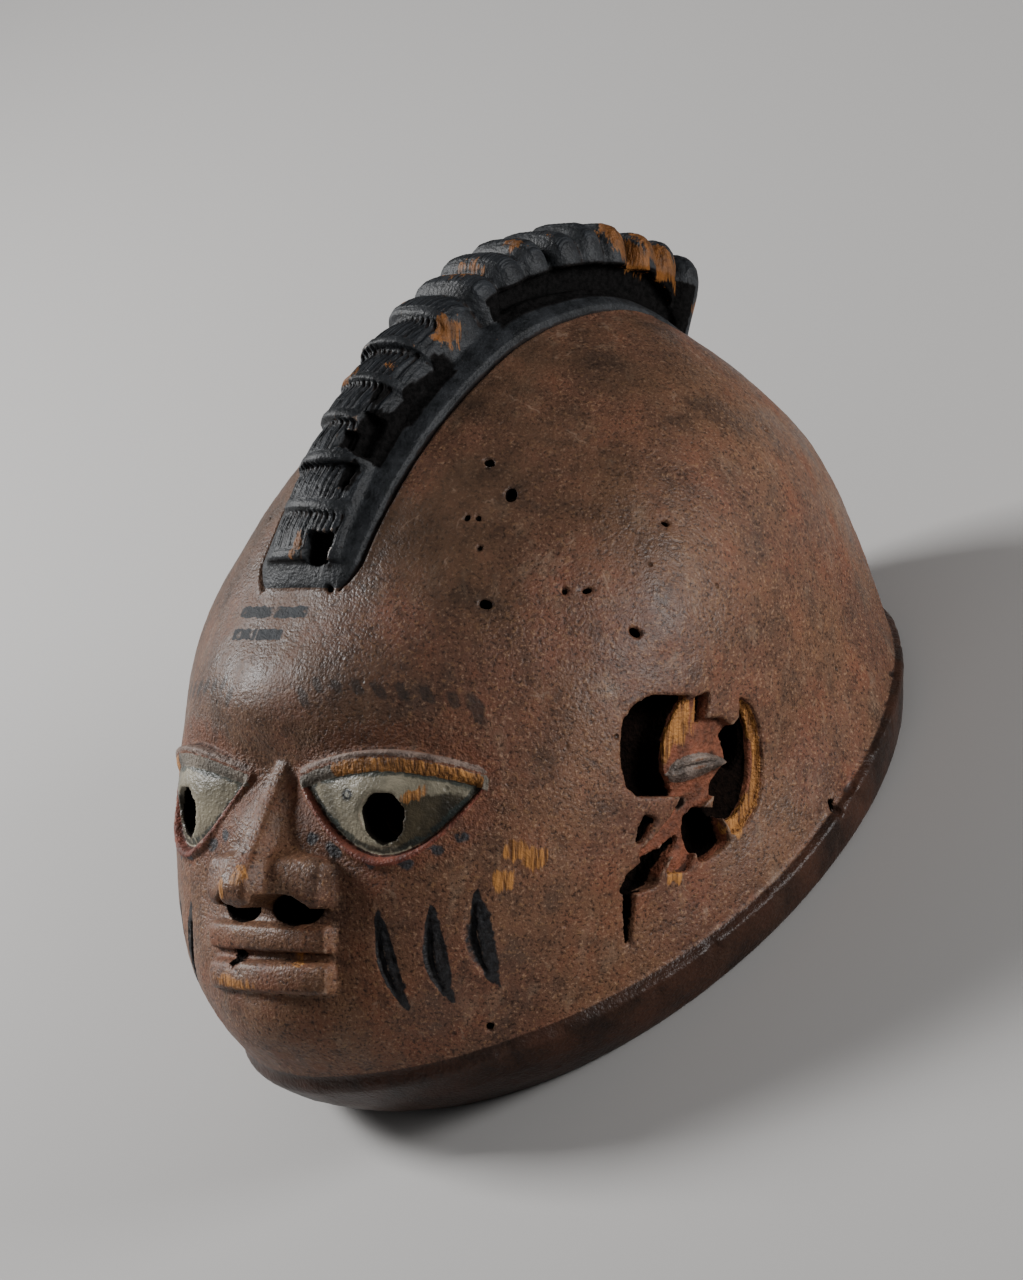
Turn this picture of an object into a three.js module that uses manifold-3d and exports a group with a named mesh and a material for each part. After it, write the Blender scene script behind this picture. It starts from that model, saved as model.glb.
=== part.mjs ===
// A gelede mask: a helmet mask carved from one block of wood, hollow inside and open below.
// Millimetres, +Z up. The face looks along -Y and a little up, +X is the mask's own left side.
// The origin is on the ground under the middle of the mask, which stands on its rim.

import * as THREE from 'three';
import { mergeVertices } from 'three/addons/utils/BufferGeometryUtils.js';
import Module from 'manifold-3d';

const wasm = await Module();
wasm.setup();

// The head as level sections: each is an oval with a front end, a back end and a half width.
const SECTIONS = [
  { height: 0, front: -122, back: 126, halfWidth: 105 },
  { height: 8, front: -131, back: 132, halfWidth: 106 },
  { height: 20, front: -140, back: 138, halfWidth: 105 },
  { height: 40, front: -147, back: 146, halfWidth: 102 },
  { height: 65, front: -146, back: 148, halfWidth: 103.5 },
  { height: 90, front: -128, back: 142, halfWidth: 103 },
  { height: 115, front: -105, back: 133, halfWidth: 95 },
  { height: 135, front: -83, back: 124, halfWidth: 80 },
  { height: 150, front: -61, back: 113, halfWidth: 62 },
  { height: 163, front: -34, back: 95, halfWidth: 44 },
  { height: 173, front: -3, back: 73, halfWidth: 27 },
];
const CROWN_HEIGHT = 179;
const CROWN_Y = 36;
// The front half of each oval is a little squarer than an ellipse, whose exponent is 2, and
// most so over the forehead.
const FACE_SQUARENESS = 2.05;
const FOREHEAD_SQUARENESS = 2.7;

// Wood left between the outside and the hollow.
const WALL = 24;

// The band along the rim, and how far its worn top edge rises at the chin and the nape.
const BAND_HEIGHT = 12.5;
const BAND_RISE_CHIN = 20;
const BAND_RISE_NAPE = -4.5;
const BAND_ROOT = -12;
// Its section from the ground up: a share of its height, and how far out from the head.
const BAND_SECTION = [
  { share: 0, proud: BAND_ROOT },
  { share: 0, proud: 1 },
  { share: 0.55, proud: 2 },
  { share: 0.93, proud: 3 },
  { share: 1, proud: 2.2 },
  { share: 1.16, proud: -0.3 },
  { share: 1.2, proud: BAND_ROOT },
];

// The face's own frame starts between the eyes and leans back from upright.
const FACE_TILT = 40;
const FACE_START = new THREE.Vector3(0, -90, 117);

// Broad hand-carved forms of the face: middle across, middle up, reach across and up, and
// how far each stands out. Those off the middle are there on both sides.
const FACE_FORMS = [
  { name: 'forehead', across: 0, up: 28, wide: 36, tall: 17, out: 6 },
  { name: 'between the eyes', across: 0, up: -1, wide: 17, tall: 12, out: -6 },
  { name: 'eye socket', across: 36, up: -3, wide: 24, tall: 15, out: -4.5 },
  { name: 'cheek by the nose', across: 27, up: -36, wide: 13, tall: 16, out: -2.5 },
  { name: 'chin', across: 0, up: -82, wide: 28, tall: 13, out: 3 },
];

// The nose from the top down: half widths of the ridge and of the wings, and how far each is out.
const NOSE_MIDDLE = 3;
const NOSE = [
  { up: 7, ridge: 3, ridgeOut: 3, wing: 5, wingOut: 0 },
  { up: 0, ridge: 3.2, ridgeOut: 6.5, wing: 6, wingOut: 1 },
  { up: -9, ridge: 3.5, ridgeOut: 12, wing: 8, wingOut: 3 },
  { up: -18, ridge: 4, ridgeOut: 17, wing: 10.5, wingOut: 6 },
  { up: -25, ridge: 4.5, ridgeOut: 21, wing: 15, wingOut: 8.5 },
  { up: -28, ridge: 5.5, ridgeOut: 23.5, wing: 24.5, wingOut: 10.5 },
  { up: -34, ridge: 6.5, ridgeOut: 27, wing: 26, wingOut: 11.5 },
  { up: -39, ridge: 7, ridgeOut: 26, wing: 26, wingOut: 11.5 },
  { up: -42, ridge: 6.5, ridgeOut: 22, wing: 25, wingOut: 10 },
];
const NOSE_ROOT = -16;
const NOSTRIL = { across: 14.5, up: -42.5, halfWidth: 9, halfHeight: 4.2 };
// From its inner end to its mouth: how far out, and a share of its size.
const NOSTRIL_SECTIONS = [[-3, 0.7], [5, 0.95], [24, 1.1]];

// Each lip is a bar. It stands out most in the middle and follows the face back at its ends.
const LIPS_MIDDLE = 3;
const LIP_HALF_LENGTH = 27;
const LIPS = [
  { up: -51.5, halfHeight: 4.6, out: 15.5, endOut: 9.5 },
  { up: -64, halfHeight: 5, out: 16, endOut: 9.5 },
];
// Its section: a share of its half height, and how far behind its front.
const LIP_SECTION = [[-1, 22], [-1, 4.2], [-0.7, 0.9], [0, 0], [0.7, 0.9], [1, 4.2], [1, 22]];
const LIP_STATIONS = [-1, -0.94, -0.6, 0, 0.6, 0.94, 1];
const LIP_END = 0.82;

// An eye's frame: its middle in the face's frame, turned outward round the cheek.
const EYE = {
  across: 41.5, up: -9, out: -9.5, turn: 22,
  halfLength: 33, rise: 15, drop: 17.5, bulge: 13, pupil: 7.6, pupilDrop: 3.8,
};
const EYE_CORNER_UP = 8.5;
const EYE_ROOT = -14;
const SOCKET = { share: 0.98, out: -4 };
// The eyelids' sections along the upper and lower edges of the eye: up and out.
const UPPER_LID = [[-3.4, -9], [-3.4, 3.2], [-1.1, 4], [1.2, 2.2], [1.6, -9]];
const LOWER_LID = [[-1.5, -9], [-1.5, 1], [0, 2.1], [1.5, 0.8], [1.5, -9]];
const LID_STEPS = 9;
const LID_END = 0.33;
// Further than the wall is thick, to either side of it.
const THROUGH_WALL = [-60, 30];

// Three cuts on each cheek: top and bottom end, across and up.
const CHEEK_CUTS = [
  { top: [44, -41], bottom: [49, -75] },
  { top: [59.5, -40], bottom: [58.5, -72] },
  { top: [70.5, -35], bottom: [68, -66.5] },
];
const CUT_HALF_WIDTH = 2.7;
const CUT_DEPTH = 3;
const CUT_RIDGE = 0.12;
const CUT_STEPS = 6;

// The ear is cut into the side of the head. Each hollow is an outline of points that give
// how far back and how far up the point is in the face's frame, and a depth. The cutter
// clears the side of the head by EAR_CLEAR.
const EAR_CLEAR = 12;
const EAR_HOLLOWS = [
  {
    name: 'in front of the ear',
    depth: 15,
    outline: [
      [54.5, 2], [54.2, 9], [55.6, 16.5], [59.7, 21.5], [65.9, 24.2], [78.6, 24], [75, 16],
      [73, 8], [73.7, 0], [77, -4.6], [79.7, -7.9], [71, -8.1], [61, -7.8], [56.4, -4.6],
    ],
  },
  {
    name: 'under the rim of the ear',
    depth: 13,
    outline: [
      [100.4, 18], [105.5, 15.8], [109.8, 10.3], [112.5, 1], [112.5, -7.3], [109.8, -14.2],
      [105.3, -18.5], [101, -17], [94, -12.5], [93.9, -6.7], [97.6, -2.1], [99, 2],
      [94.7, 6.6], [95.5, 11],
    ],
  },
  {
    name: 'above the lobe',
    depth: 15,
    outline: [
      [83.2, -15.5], [88, -11], [94.2, -12.4], [99.3, -18], [100.7, -22.2], [96.6, -25.8],
      [88.1, -29.4], [85, -25], [83, -20],
    ],
  },
  {
    name: 'in front of the lobe',
    depth: 12,
    outline: [
      [80.4, -19.9], [81.4, -22.8], [76.8, -27.1], [74, -32.1], [72.6, -36.2], [66.8, -38.3],
      [61, -38.9], [58.4, -37.4], [60.5, -31.7], [66.2, -27.4], [73.9, -24.5],
    ],
  },
  {
    name: 'notch',
    depth: 6,
    outline: [
      [64.1, -12.8], [69.4, -14.8], [66.9, -19.2], [63.9, -23.3], [61.1, -21.6], [62, -16.8],
    ],
  },
  {
    name: 'crack below the ear',
    depth: 7,
    outline: [
      [60.1, -37.5], [65.2, -37.5], [65.7, -48], [65.6, -57], [64.9, -57], [62.6, -48],
    ],
  },
];

// The crest of plaits runs over the top along an arc round this point beside the hollow.
const CREST_CENTRE = new THREE.Vector3(0, 40, 60);
const PLATE_FRONT = 131.5;
const PLATE_BACK = 31;
const PLATE_HALF_WIDTH = 21.5;
const PLATE_SPREAD = 3.5;
const PLATE_THICKNESS = 4.5;
const PLATE_ROOT = 7;
const PLATE_STEPS = 18;
// The plate's front end is a little narrower and lower.
const PLATE_END = { width: 0.82, lift: 0.6 };
const PLAITS = 16;
const PLAIT_FRONT = 128;
const FIRST_PLAIT = 7.2;
const LAST_PLAIT = 5.2;
const PLAIT_HALF_WIDTH = 17;
const CREST_RADIUS = 136;
const CREST_SWELL = 6;
const CREST_SWELL_AT = 0.78;
const CREST_SHOULDER = 3;
// A plait's profile along the arc: a share of its length, how far below the crest's radius and
// a share of its width. Its section: shares of its half width, the outer ones dropped.
const PLAIT_PROFILE = [[0.02, 9, 0.93], [0.08, 1, 1], [0.45, 0, 1.02], [0.98, 5, 0.93]];
const PLAIT_SECTION = [-1, -0.88, -0.4, 0.4, 0.88, 1];

// The whole is longer behind than the head, because the crest overhangs the nape.
const ORIGIN_Y = 4;

const AROUND = 52;
const LEVELS_UP = 20;
const HOLLOW_AROUND = 28;
const HOLLOW_LEVELS = 7;
const BAND_AROUND = 52;
const EYE_AROUND = 18;
const PUPIL_AROUND = 12;
const NOSTRIL_AROUND = 10;

// A smooth curve through evenly numbered values, with one more value given past each end.
function through(values, t) {
  const i = Math.min(Math.floor(t), values.length - 4);
  const s = t - i;
  const [a, b, c, d] = values.slice(i, i + 4);
  return 0.5 * (2 * b + (c - a) * s + (2 * a - 5 * b + 4 * c - d) * s * s
    + (3 * b - a - 3 * c + d) * s * s * s);
}

function withEnds(values, atCrown, mirrored) {
  const [first, second] = values;
  const last = values[values.length - 1];
  return [2 * first - second, ...values, atCrown, mirrored ? -last : last];
}

const CROWN = SECTIONS.length;
const heights = withEnds(SECTIONS.map((s) => s.height), CROWN_HEIGHT, false);
const middles = withEnds(SECTIONS.map((s) => (s.front + s.back) / 2), CROWN_Y, false);
const halfLengths = withEnds(SECTIONS.map((s) => (s.back - s.front) / 2), 0, true);
const halfWidths = withEnds(SECTIONS.map((s) => s.halfWidth), 0, true);

function bell(distance, reach) {
  return Math.exp(-(distance * distance) / (reach * reach));
}

function smooth(from, to, value) {
  const s = Math.min(Math.max((value - from) / (to - from), 0), 1);
  return s * s * (3 - 2 * s);
}

// Between the face's frame (across, up, out) and the mask's.
const tilt = THREE.MathUtils.degToRad(FACE_TILT);
const faceUp = new THREE.Vector3(0, Math.sin(tilt), Math.cos(tilt));
const faceOut = new THREE.Vector3(0, -Math.cos(tilt), Math.sin(tilt));

function fromFace(across, up, out) {
  const point = FACE_START.clone().addScaledVector(faceUp, up).addScaledVector(faceOut, out);
  point.x += across;
  return point;
}

function toFace(point) {
  const from = point.clone().sub(FACE_START);
  return { across: point.x, up: from.dot(faceUp), out: from.dot(faceOut) };
}

// How far the carved face stands out from the plain head at a place on it.
function faceForm(across, up) {
  let out = 0;
  for (const form of FACE_FORMS) {
    const sideways = bell(Math.abs(across) - form.across, form.wide);
    out += form.out * sideways * bell(up - form.up, form.tall);
  }
  return out;
}

function squareness(height) {
  return FACE_SQUARENESS + (FOREHEAD_SQUARENESS - FACE_SQUARENESS) * smooth(115, 160, height);
}

// The point of the head at level t, 0 at the rim and CROWN at the top, at an angle from +X
// with the face at -90 degrees.
function headPoint(t, angle) {
  const power = Math.sin(angle) < 0 ? 2 / squareness(through(heights, t)) : 1;
  const sine = Math.sign(Math.sin(angle)) * Math.abs(Math.sin(angle)) ** power;
  const cosine = Math.sign(Math.cos(angle)) * Math.abs(Math.cos(angle)) ** power;
  const y = through(middles, t) + through(halfLengths, t) * sine;
  return new THREE.Vector3(through(halfWidths, t) * cosine, y, through(heights, t));
}

function headNormal(t, angle) {
  const step = 0.01;
  const low = headPoint(Math.max(t - step, 0), angle);
  const up = headPoint(Math.min(t + step, CROWN - step), angle).sub(low);
  const along = headPoint(t, angle + step).sub(headPoint(t, angle - step));
  return along.cross(up).normalize();
}

// Halves a stretch until it closes on the place where inside() changes from true to false.
function edgeOf(inside, from, to) {
  let [low, high] = [from, to];
  for (let i = 0; i < 30; i++) {
    const middle = (low + high) / 2;
    if (inside(middle)) low = middle;
    else high = middle;
  }
  return (low + high) / 2;
}

function insideHead(point) {
  if (point.z >= CROWN_HEIGHT) return false;
  const t = edgeOf((level) => through(heights, level) < point.z, 0, CROWN);
  const y = (point.y - through(middles, t)) / through(halfLengths, t);
  const x = point.x / through(halfWidths, t);
  const power = y < 0 ? squareness(point.z) : 2;
  return Math.abs(x) ** power + Math.abs(y) ** power < 1;
}

// Where the head's surface is: out in the face's frame, sideways, or out from the crest's centre.
function faceSurface(across, up) {
  return edgeOf((out) => insideHead(fromFace(across, up, out)), -60, 40) + faceForm(across, up);
}

function sideSurface(back, up) {
  return edgeOf((x) => insideHead(fromFace(x, up, -back)), 0, 130);
}

function crestPoint(x, degrees, radius) {
  const angle = THREE.MathUtils.degToRad(degrees);
  const offset = new THREE.Vector3(x, radius * Math.cos(angle), radius * Math.sin(angle));
  return CREST_CENTRE.clone().add(offset);
}

function crownSurface(x, degrees) {
  return edgeOf((radius) => insideHead(crestPoint(x, degrees, radius)), 0, 200);
}

// A closed geometry from rings of the same number of points, with a flat end at each end.
function loft(rings) {
  const count = rings[0].length;
  const points = rings.flat();
  const index = [];
  for (let r = 0; r + 1 < rings.length; r++) {
    for (let i = 0; i < count; i++) {
      const [a, b] = [r * count + i, r * count + (i + 1) % count];
      index.push(a, b, b + count, a, b + count, a + count);
    }
  }
  const addCap = (start, facesBack) => {
    const ring = points.slice(start, start + count);
    const flat = points.length;
    points.push(ring.reduce((sum, p) => sum.add(p), new THREE.Vector3()).divideScalar(count));
    for (let i = 0; i < count; i++) {
      const [a, b] = [start + i, start + (i + 1) % count];
      index.push(...(facesBack ? [flat, b, a] : [flat, a, b]));
    }
  };
  addCap(0, true);
  addCap((rings.length - 1) * count, false);
  const geometry = new THREE.BufferGeometry().setFromPoints(points);
  geometry.setIndex(index);
  return geometry;
}

// The volume inside closed faces, negative when they point inward.
function signedVolume(positions, corners) {
  const at = (corner) => new THREE.Vector3().fromArray(positions, 3 * corner);
  let sum = 0;
  for (let i = 0; i < corners.length; i += 3) {
    sum += at(corners[i]).dot(at(corners[i + 1]).cross(at(corners[i + 2]))) / 6;
  }
  return sum;
}

function solid(geometry) {
  const plain = geometry.clone();
  plain.deleteAttribute('normal');
  plain.deleteAttribute('uv');
  const merged = mergeVertices(plain, 1e-4);
  const corners = Array.from(merged.index.array);
  const positions = merged.attributes.position.array;
  const outward = signedVolume(positions, corners) > 0;
  const kept = [];
  for (let i = 0; i < corners.length; i += 3) {
    const [a, b, c] = corners.slice(i, i + 3);
    if (a !== b && b !== c && c !== a) kept.push(...(outward ? [a, b, c] : [a, c, b]));
  }
  return new wasm.Manifold(new wasm.Mesh({
    numProp: 3,
    vertProperties: Float32Array.from(positions),
    triVerts: Uint32Array.from(kept),
  }));
}

function circle(count, at) {
  return Array.from({ length: count }, (_, i) => at(2 * Math.PI * i / count));
}

function headSolid() {
  const rings = [];
  for (let r = 0; r <= LEVELS_UP; r++) {
    const t = CROWN * r / LEVELS_UP;
    rings.push(circle(AROUND, (angle) => {
      const point = headPoint(t, angle);
      const facing = smooth(0.1, 0.5, r < LEVELS_UP ? headNormal(t, angle).dot(faceOut) : 0);
      const { across, up } = toFace(point);
      return point.addScaledVector(faceOut, facing * faceForm(across, up));
    }));
  }
  return solid(loft(rings));
}

function hollowSolid() {
  const rings = [];
  for (let r = 0; r <= HOLLOW_LEVELS; r++) {
    const t = Math.min(CROWN * r / HOLLOW_LEVELS, CROWN - 0.05);
    rings.push(circle(HOLLOW_AROUND, (angle) =>
      headPoint(t, angle).addScaledVector(headNormal(t, angle), -WALL)));
  }
  for (const point of rings[0]) point.z = 0;
  const below = rings[0].map((point) => new THREE.Vector3(point.x, point.y, -WALL));
  return solid(loft([below, ...rings]));
}

function bandSolid() {
  return solid(loft(BAND_SECTION.map(({ share, proud }) => circle(BAND_AROUND, (angle) => {
    const rise = Math.sin(angle) < 0 ? BAND_RISE_CHIN : BAND_RISE_NAPE;
    const height = share * (BAND_HEIGHT + rise * Math.sin(angle) ** 2);
    const t = edgeOf((level) => through(heights, level) < height, 0, CROWN);
    const point = headPoint(t, angle);
    const outward = new THREE.Vector3(point.x, point.y, 0).normalize();
    return point.addScaledVector(outward, proud);
  }))));
}

function noseSolid() {
  return solid(loft([...NOSE].reverse().map(({ up, ridge, ridgeOut, wing, wingOut }) => {
    const half = [
      [ridge * 0.5, ridgeOut], [ridge, ridgeOut - 1.2],
      [wing * 0.93, wingOut + 0.8], [wing, wingOut - 1], [wing, NOSE_ROOT],
    ];
    const left = half.map(([x, out]) => fromFace(NOSE_MIDDLE + x, up, out));
    const right = half.map(([x, out]) => fromFace(NOSE_MIDDLE - x, up, out));
    return [...left.reverse(), ...right];
  })));
}

// A bar across the face with a rounded front and square-cut ends.
function lipSolid({ up, halfHeight, out, endOut }) {
  return solid(loft(LIP_STATIONS.map((s) => {
    const size = Math.abs(s) === 1 ? LIP_END : 1;
    const front = endOut + (out - endOut) * (1 - s * s);
    return LIP_SECTION.map(([height, behind]) => fromFace(
      LIPS_MIDDLE + s * LIP_HALF_LENGTH, up + height * halfHeight * size, front - behind));
  })));
}

// Turns a point of an eye's frame (along, up, out) into the mask's, for the left or right eye.
const turn = THREE.MathUtils.degToRad(EYE.turn);

function fromEye(side, along, up, out) {
  const across = EYE.across + along * Math.cos(turn) + out * Math.sin(turn);
  const forward = EYE.out - along * Math.sin(turn) + out * Math.cos(turn);
  return fromFace(side * across, EYE.up + up, forward);
}

// The almond outline of an eye, at a share of its full size: a low arch above and a deeper
// curve below.
function eyeOutline(angle, share) {
  const along = EYE.halfLength * Math.cos(angle);
  const across = 1 - Math.abs(Math.cos(angle)) ** 1.9;
  const height = Math.sin(angle) > 0 ? EYE.rise - EYE_CORNER_UP : -EYE.drop - EYE_CORNER_UP;
  return { along: along * share, up: EYE_CORNER_UP * share + height * across * share };
}

function eyeballOut(along, share) {
  return EYE.bulge * (1 - (along / EYE.halfLength) ** 2) * (1 - 0.3 * share * share);
}

function eyeRing(side, share, out) {
  return circle(EYE_AROUND, (angle) => {
    const { along, up } = eyeOutline(angle, share);
    return fromEye(side, along, up, out === undefined ? eyeballOut(along, share) : out);
  });
}

function eyeballSolid(side) {
  const rings = [eyeRing(side, 1, EYE_ROOT)];
  for (const share of [1, 0.75, 0.4]) rings.push(eyeRing(side, share));
  return solid(loft(rings));
}

// The bed that the eyeball lies in.
function socketSolid(side) {
  return solid(loft([eyeRing(side, SOCKET.share, SOCKET.out), eyeRing(side, SOCKET.share, 30)]));
}

// An eyelid along the upper half of the eye's outline, from angle 0, or the lower, from half a turn.
function lidSolid(side, section, start) {
  const rings = [];
  for (let i = 0; i <= LID_STEPS; i++) {
    const { along, up } = eyeOutline(start + Math.PI * i / LID_STEPS, 1.02);
    const out = eyeballOut(along, 1);
    const size = LID_END + (1 - LID_END) * Math.sqrt(Math.sin(Math.PI * i / LID_STEPS));
    rings.push(section.map(([height, proud]) => fromEye(
      side, along, up + height * size, out + (proud < 0 ? proud : proud * size))));
  }
  return solid(loft(rings));
}

function pupilSolid(side) {
  return solid(loft(THROUGH_WALL.map((out) => circle(PUPIL_AROUND, (angle) => fromEye(
    side, EYE.pupil * Math.cos(angle), -EYE.pupilDrop + EYE.pupil * Math.sin(angle), out)))));
}

function nostrilSolid(side) {
  return solid(loft(NOSTRIL_SECTIONS.map(([out, size]) => circle(NOSTRIL_AROUND, (angle) => fromFace(
    NOSE_MIDDLE + side * NOSTRIL.across + size * NOSTRIL.halfWidth * Math.cos(angle),
    NOSTRIL.up + size * NOSTRIL.halfHeight * Math.sin(angle), out)))));
}

// A leaf-shaped cut in the cheek: two grooves side by side, with a ridge left between them.
function cheekCutSolid(side, { top, bottom }) {
  const grooves = [-1, 1].map((half) => {
    const rings = [];
    for (let i = 0; i <= CUT_STEPS; i++) {
      const s = i / CUT_STEPS;
      const width = CUT_HALF_WIDTH * Math.sin(Math.PI * (0.04 + 0.92 * s));
      const across = side * (top[0] + (bottom[0] - top[0]) * s);
      const up = top[1] + (bottom[1] - top[1]) * s;
      const surface = faceSurface(across, up);
      const deep = CUT_DEPTH * (0.3 + 0.7 * Math.sin(Math.PI * s));
      const [inner, outer] = [half * CUT_RIDGE * width, half * width];
      const section = [[inner, 6], [inner, 0.6], [(inner + outer) / 2, -deep], [outer, 0.6], [outer, 6]];
      rings.push(section.map(([x, out]) => fromFace(across + x, up, surface + out)));
    }
    return solid(loft(rings));
  });
  return grooves[0].add(grooves[1]);
}

function earHollowSolid(side, { outline, depth }) {
  return solid(loft([-depth, EAR_CLEAR].map((out) => outline.map(([back, up]) => fromFace(
    side * (sideSurface(back, up) + out), up, -back)))));
}

// The flat plate that the plaits stand on, cut off square over the forehead.
function plateSolid() {
  const rings = [];
  for (let i = 0; i <= PLATE_STEPS; i++) {
    const degrees = PLATE_FRONT + (PLATE_BACK - PLATE_FRONT) * i / PLATE_STEPS;
    const spread = PLATE_SPREAD * Math.sin(Math.PI * i / PLATE_STEPS);
    const half = (PLATE_HALF_WIDTH + spread) * (i === 0 ? PLATE_END.width : 1);
    const lift = PLATE_THICKNESS * (i === 0 ? PLATE_END.lift : 1);
    const offCrown = (share, out) => {
      const x = share * half;
      return crestPoint(x, degrees, crownSurface(x, degrees) + out);
    };
    const top = [-1, -0.5, 0, 0.5, 1].map((share) => offCrown(share, lift));
    const under = [1, 0, -1].map((share) => offCrown(share, -PLATE_ROOT));
    rings.push([...top, ...under]);
  }
  return solid(loft(rings));
}

// Where each plait starts on the crest's arc: those in front are a little longer.
function plaitStart(number) {
  const shorter = (FIRST_PLAIT - LAST_PLAIT) / (PLAITS - 1);
  return PLAIT_FRONT - FIRST_PLAIT * number + shorter * number * (number - 1) / 2;
}

// One plait: a steep front like a stair's riser, then a long round back down to the next. Every
// plait was cut by eye, so their widths differ a little, and the last ones are narrower.
function plaitSolid(number) {
  const front = plaitStart(number);
  const length = plaitStart(number + 1) - front;
  const share = number / (PLAITS - 1);
  const radius = CREST_RADIUS + CREST_SWELL * bell(share - CREST_SWELL_AT, 0.25);
  const byEye = 0.96 + 0.04 * Math.cos(5 * number);
  const half = PLAIT_HALF_WIDTH * byEye * (1 - 0.12 * smooth(0.85, 1, share));
  return solid(loft(PLAIT_PROFILE.map(([s, lower, wide]) => {
    const degrees = front + length * s;
    const top = PLAIT_SECTION.map((x) => {
      const drop = CREST_SHOULDER * (Math.abs(x) ** 3 + (Math.abs(x) === 1 ? 1 : 0));
      return crestPoint(x * half * wide, degrees, radius - lower - drop);
    });
    const root = crownSurface(0, degrees) - 4;
    const under = [1, -1].map((x) => crestPoint(x * half * wide, degrees, root));
    return [...top, ...under];
  })));
}

function meshOf(manifold, name, material) {
  const { vertProperties, triVerts } = manifold.getMesh();
  const geometry = new THREE.BufferGeometry();
  geometry.setAttribute('position', new THREE.BufferAttribute(vertProperties, 3));
  geometry.setIndex(new THREE.BufferAttribute(triVerts, 1));
  const mesh = new THREE.Mesh(geometry, material);
  mesh.name = name;
  return mesh;
}

let carved = headSolid().add(bandSolid());
for (const side of [1, -1]) {
  carved = carved.subtract(socketSolid(side)).add(eyeballSolid(side));
  carved = carved.add(lidSolid(side, UPPER_LID, 0)).add(lidSolid(side, LOWER_LID, Math.PI));
}
carved = carved.add(noseSolid());
for (const lip of LIPS) carved = carved.add(lipSolid(lip));
carved = carved.add(plateSolid());
for (let number = 0; number < PLAITS; number++) carved = carved.add(plaitSolid(number));
for (const side of [1, -1]) {
  carved = carved.subtract(pupilSolid(side)).subtract(nostrilSolid(side));
  for (const cut of CHEEK_CUTS) carved = carved.subtract(cheekCutSolid(side, cut));
  for (const hollow of EAR_HOLLOWS) carved = carved.subtract(earHollowSolid(side, hollow));
}
carved = carved.subtract(hollowSolid());

const carvedWood = new THREE.MeshStandardMaterial({ color: 0x5a3a2c, roughness: 0.7, metalness: 0 });
const maskMesh = meshOf(carved, 'gelede_mask', carvedWood);
maskMesh.position.y = -ORIGIN_Y;

const mask = new THREE.Group();
mask.add(maskMesh);

export default mask;
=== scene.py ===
# The looks of a gelede mask: a helmet mask carved from one block of wood, painted, danced in and worn.
# Shapes are worked out in millimetres in the mask's own frame: +Z up, the face towards -Y,
# +X the mask's left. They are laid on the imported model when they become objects.

import itertools
import math

import bmesh
import bpy
import numpy as np
from mathutils import Matrix, Vector


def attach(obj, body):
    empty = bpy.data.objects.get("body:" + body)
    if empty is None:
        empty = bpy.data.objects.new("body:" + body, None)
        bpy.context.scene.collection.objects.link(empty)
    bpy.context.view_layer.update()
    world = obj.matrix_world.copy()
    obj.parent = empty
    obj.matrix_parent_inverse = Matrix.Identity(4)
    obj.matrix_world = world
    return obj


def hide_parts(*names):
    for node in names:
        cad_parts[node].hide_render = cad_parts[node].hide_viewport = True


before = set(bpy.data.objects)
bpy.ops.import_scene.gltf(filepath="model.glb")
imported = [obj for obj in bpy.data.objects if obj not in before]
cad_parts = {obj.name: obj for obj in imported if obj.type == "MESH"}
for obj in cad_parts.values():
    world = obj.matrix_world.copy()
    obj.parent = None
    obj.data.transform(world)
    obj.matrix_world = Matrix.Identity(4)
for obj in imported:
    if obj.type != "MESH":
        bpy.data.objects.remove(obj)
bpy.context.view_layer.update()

# The head as level sections: height, front end, back end and half width.
SECTIONS = (
    (0, -122, 126, 105),
    (8, -131, 132, 106),
    (20, -140, 138, 105),
    (40, -147, 146, 102),
    (65, -146, 148, 103.5),
    (90, -128, 142, 103),
    (115, -105, 133, 95),
    (135, -83, 124, 80),
    (150, -61, 113, 62),
    (163, -34, 95, 44),
    (173, -3, 73, 27),
)
CROWN_HEIGHT = 179
CROWN_Y = 36
FACE_SQUARENESS = 2.05
FOREHEAD_SQUARENESS = 2.7
SQUARER_FROM = 115
SQUARER_TO = 160
WALL = 24
ADZE_MARK_DEPTH = 0.8
ORIGIN_Y = 4

# How finely the plain forms are laid out, round them and from end to end.
HEAD_AROUND = 160
HEAD_LEVELS = 66
HOLLOW_AROUND = 150
HOLLOW_LEVELS = 70
BAND_AROUND = 200
SHORT_OF_CROWN = 0.05
HALVINGS = 26
# Where a surface is looked for, from and to in mm: out of the face's frame, out from the head's middle
# plane, and out from the crest's centre.
FACE_SEARCH = (-60, 40)
SIDE_SEARCH = (0, 130)
CROWN_SEARCH = (0, 200)

# The worn band along the rim, from the ground up: a share of its height, and how far it is out.
BAND_HEIGHT = 12.5
BAND_RISE_CHIN = 20
BAND_RISE_NAPE = -4.5
BAND_ROOT = -12
BAND_SECTION = (
    (0, BAND_ROOT), (0, 0.4), (0.06, 1), (0.3, 1.5), (0.6, 2.1), (0.86, 2.8), (0.95, 3.1), (1.02, 2.4),
    (1.1, 0.7), (1.2, -0.5), (1.24, BAND_ROOT),
)

# The face's frame starts between the eyes and leans back from upright.
FACE_TILT = math.radians(40)
FACE_START = np.array([0, -90, 117.0])
FACE_UP = np.array([0, math.sin(FACE_TILT), math.cos(FACE_TILT)])
FACE_OUT = np.array([0, -math.cos(FACE_TILT), math.sin(FACE_TILT)])

# Broad forms of the face: middle across, middle up, reach across and up, and how far out.
FACE_FORMS = (
    (0, 28, 36, 17, 6),
    (0, -1, 17, 12, -6),
    (36, -3, 24, 15, -4.5),
    (27, -36, 13, 16, -2.5),
    (0, -82, 28, 13, 3),
)

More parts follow.
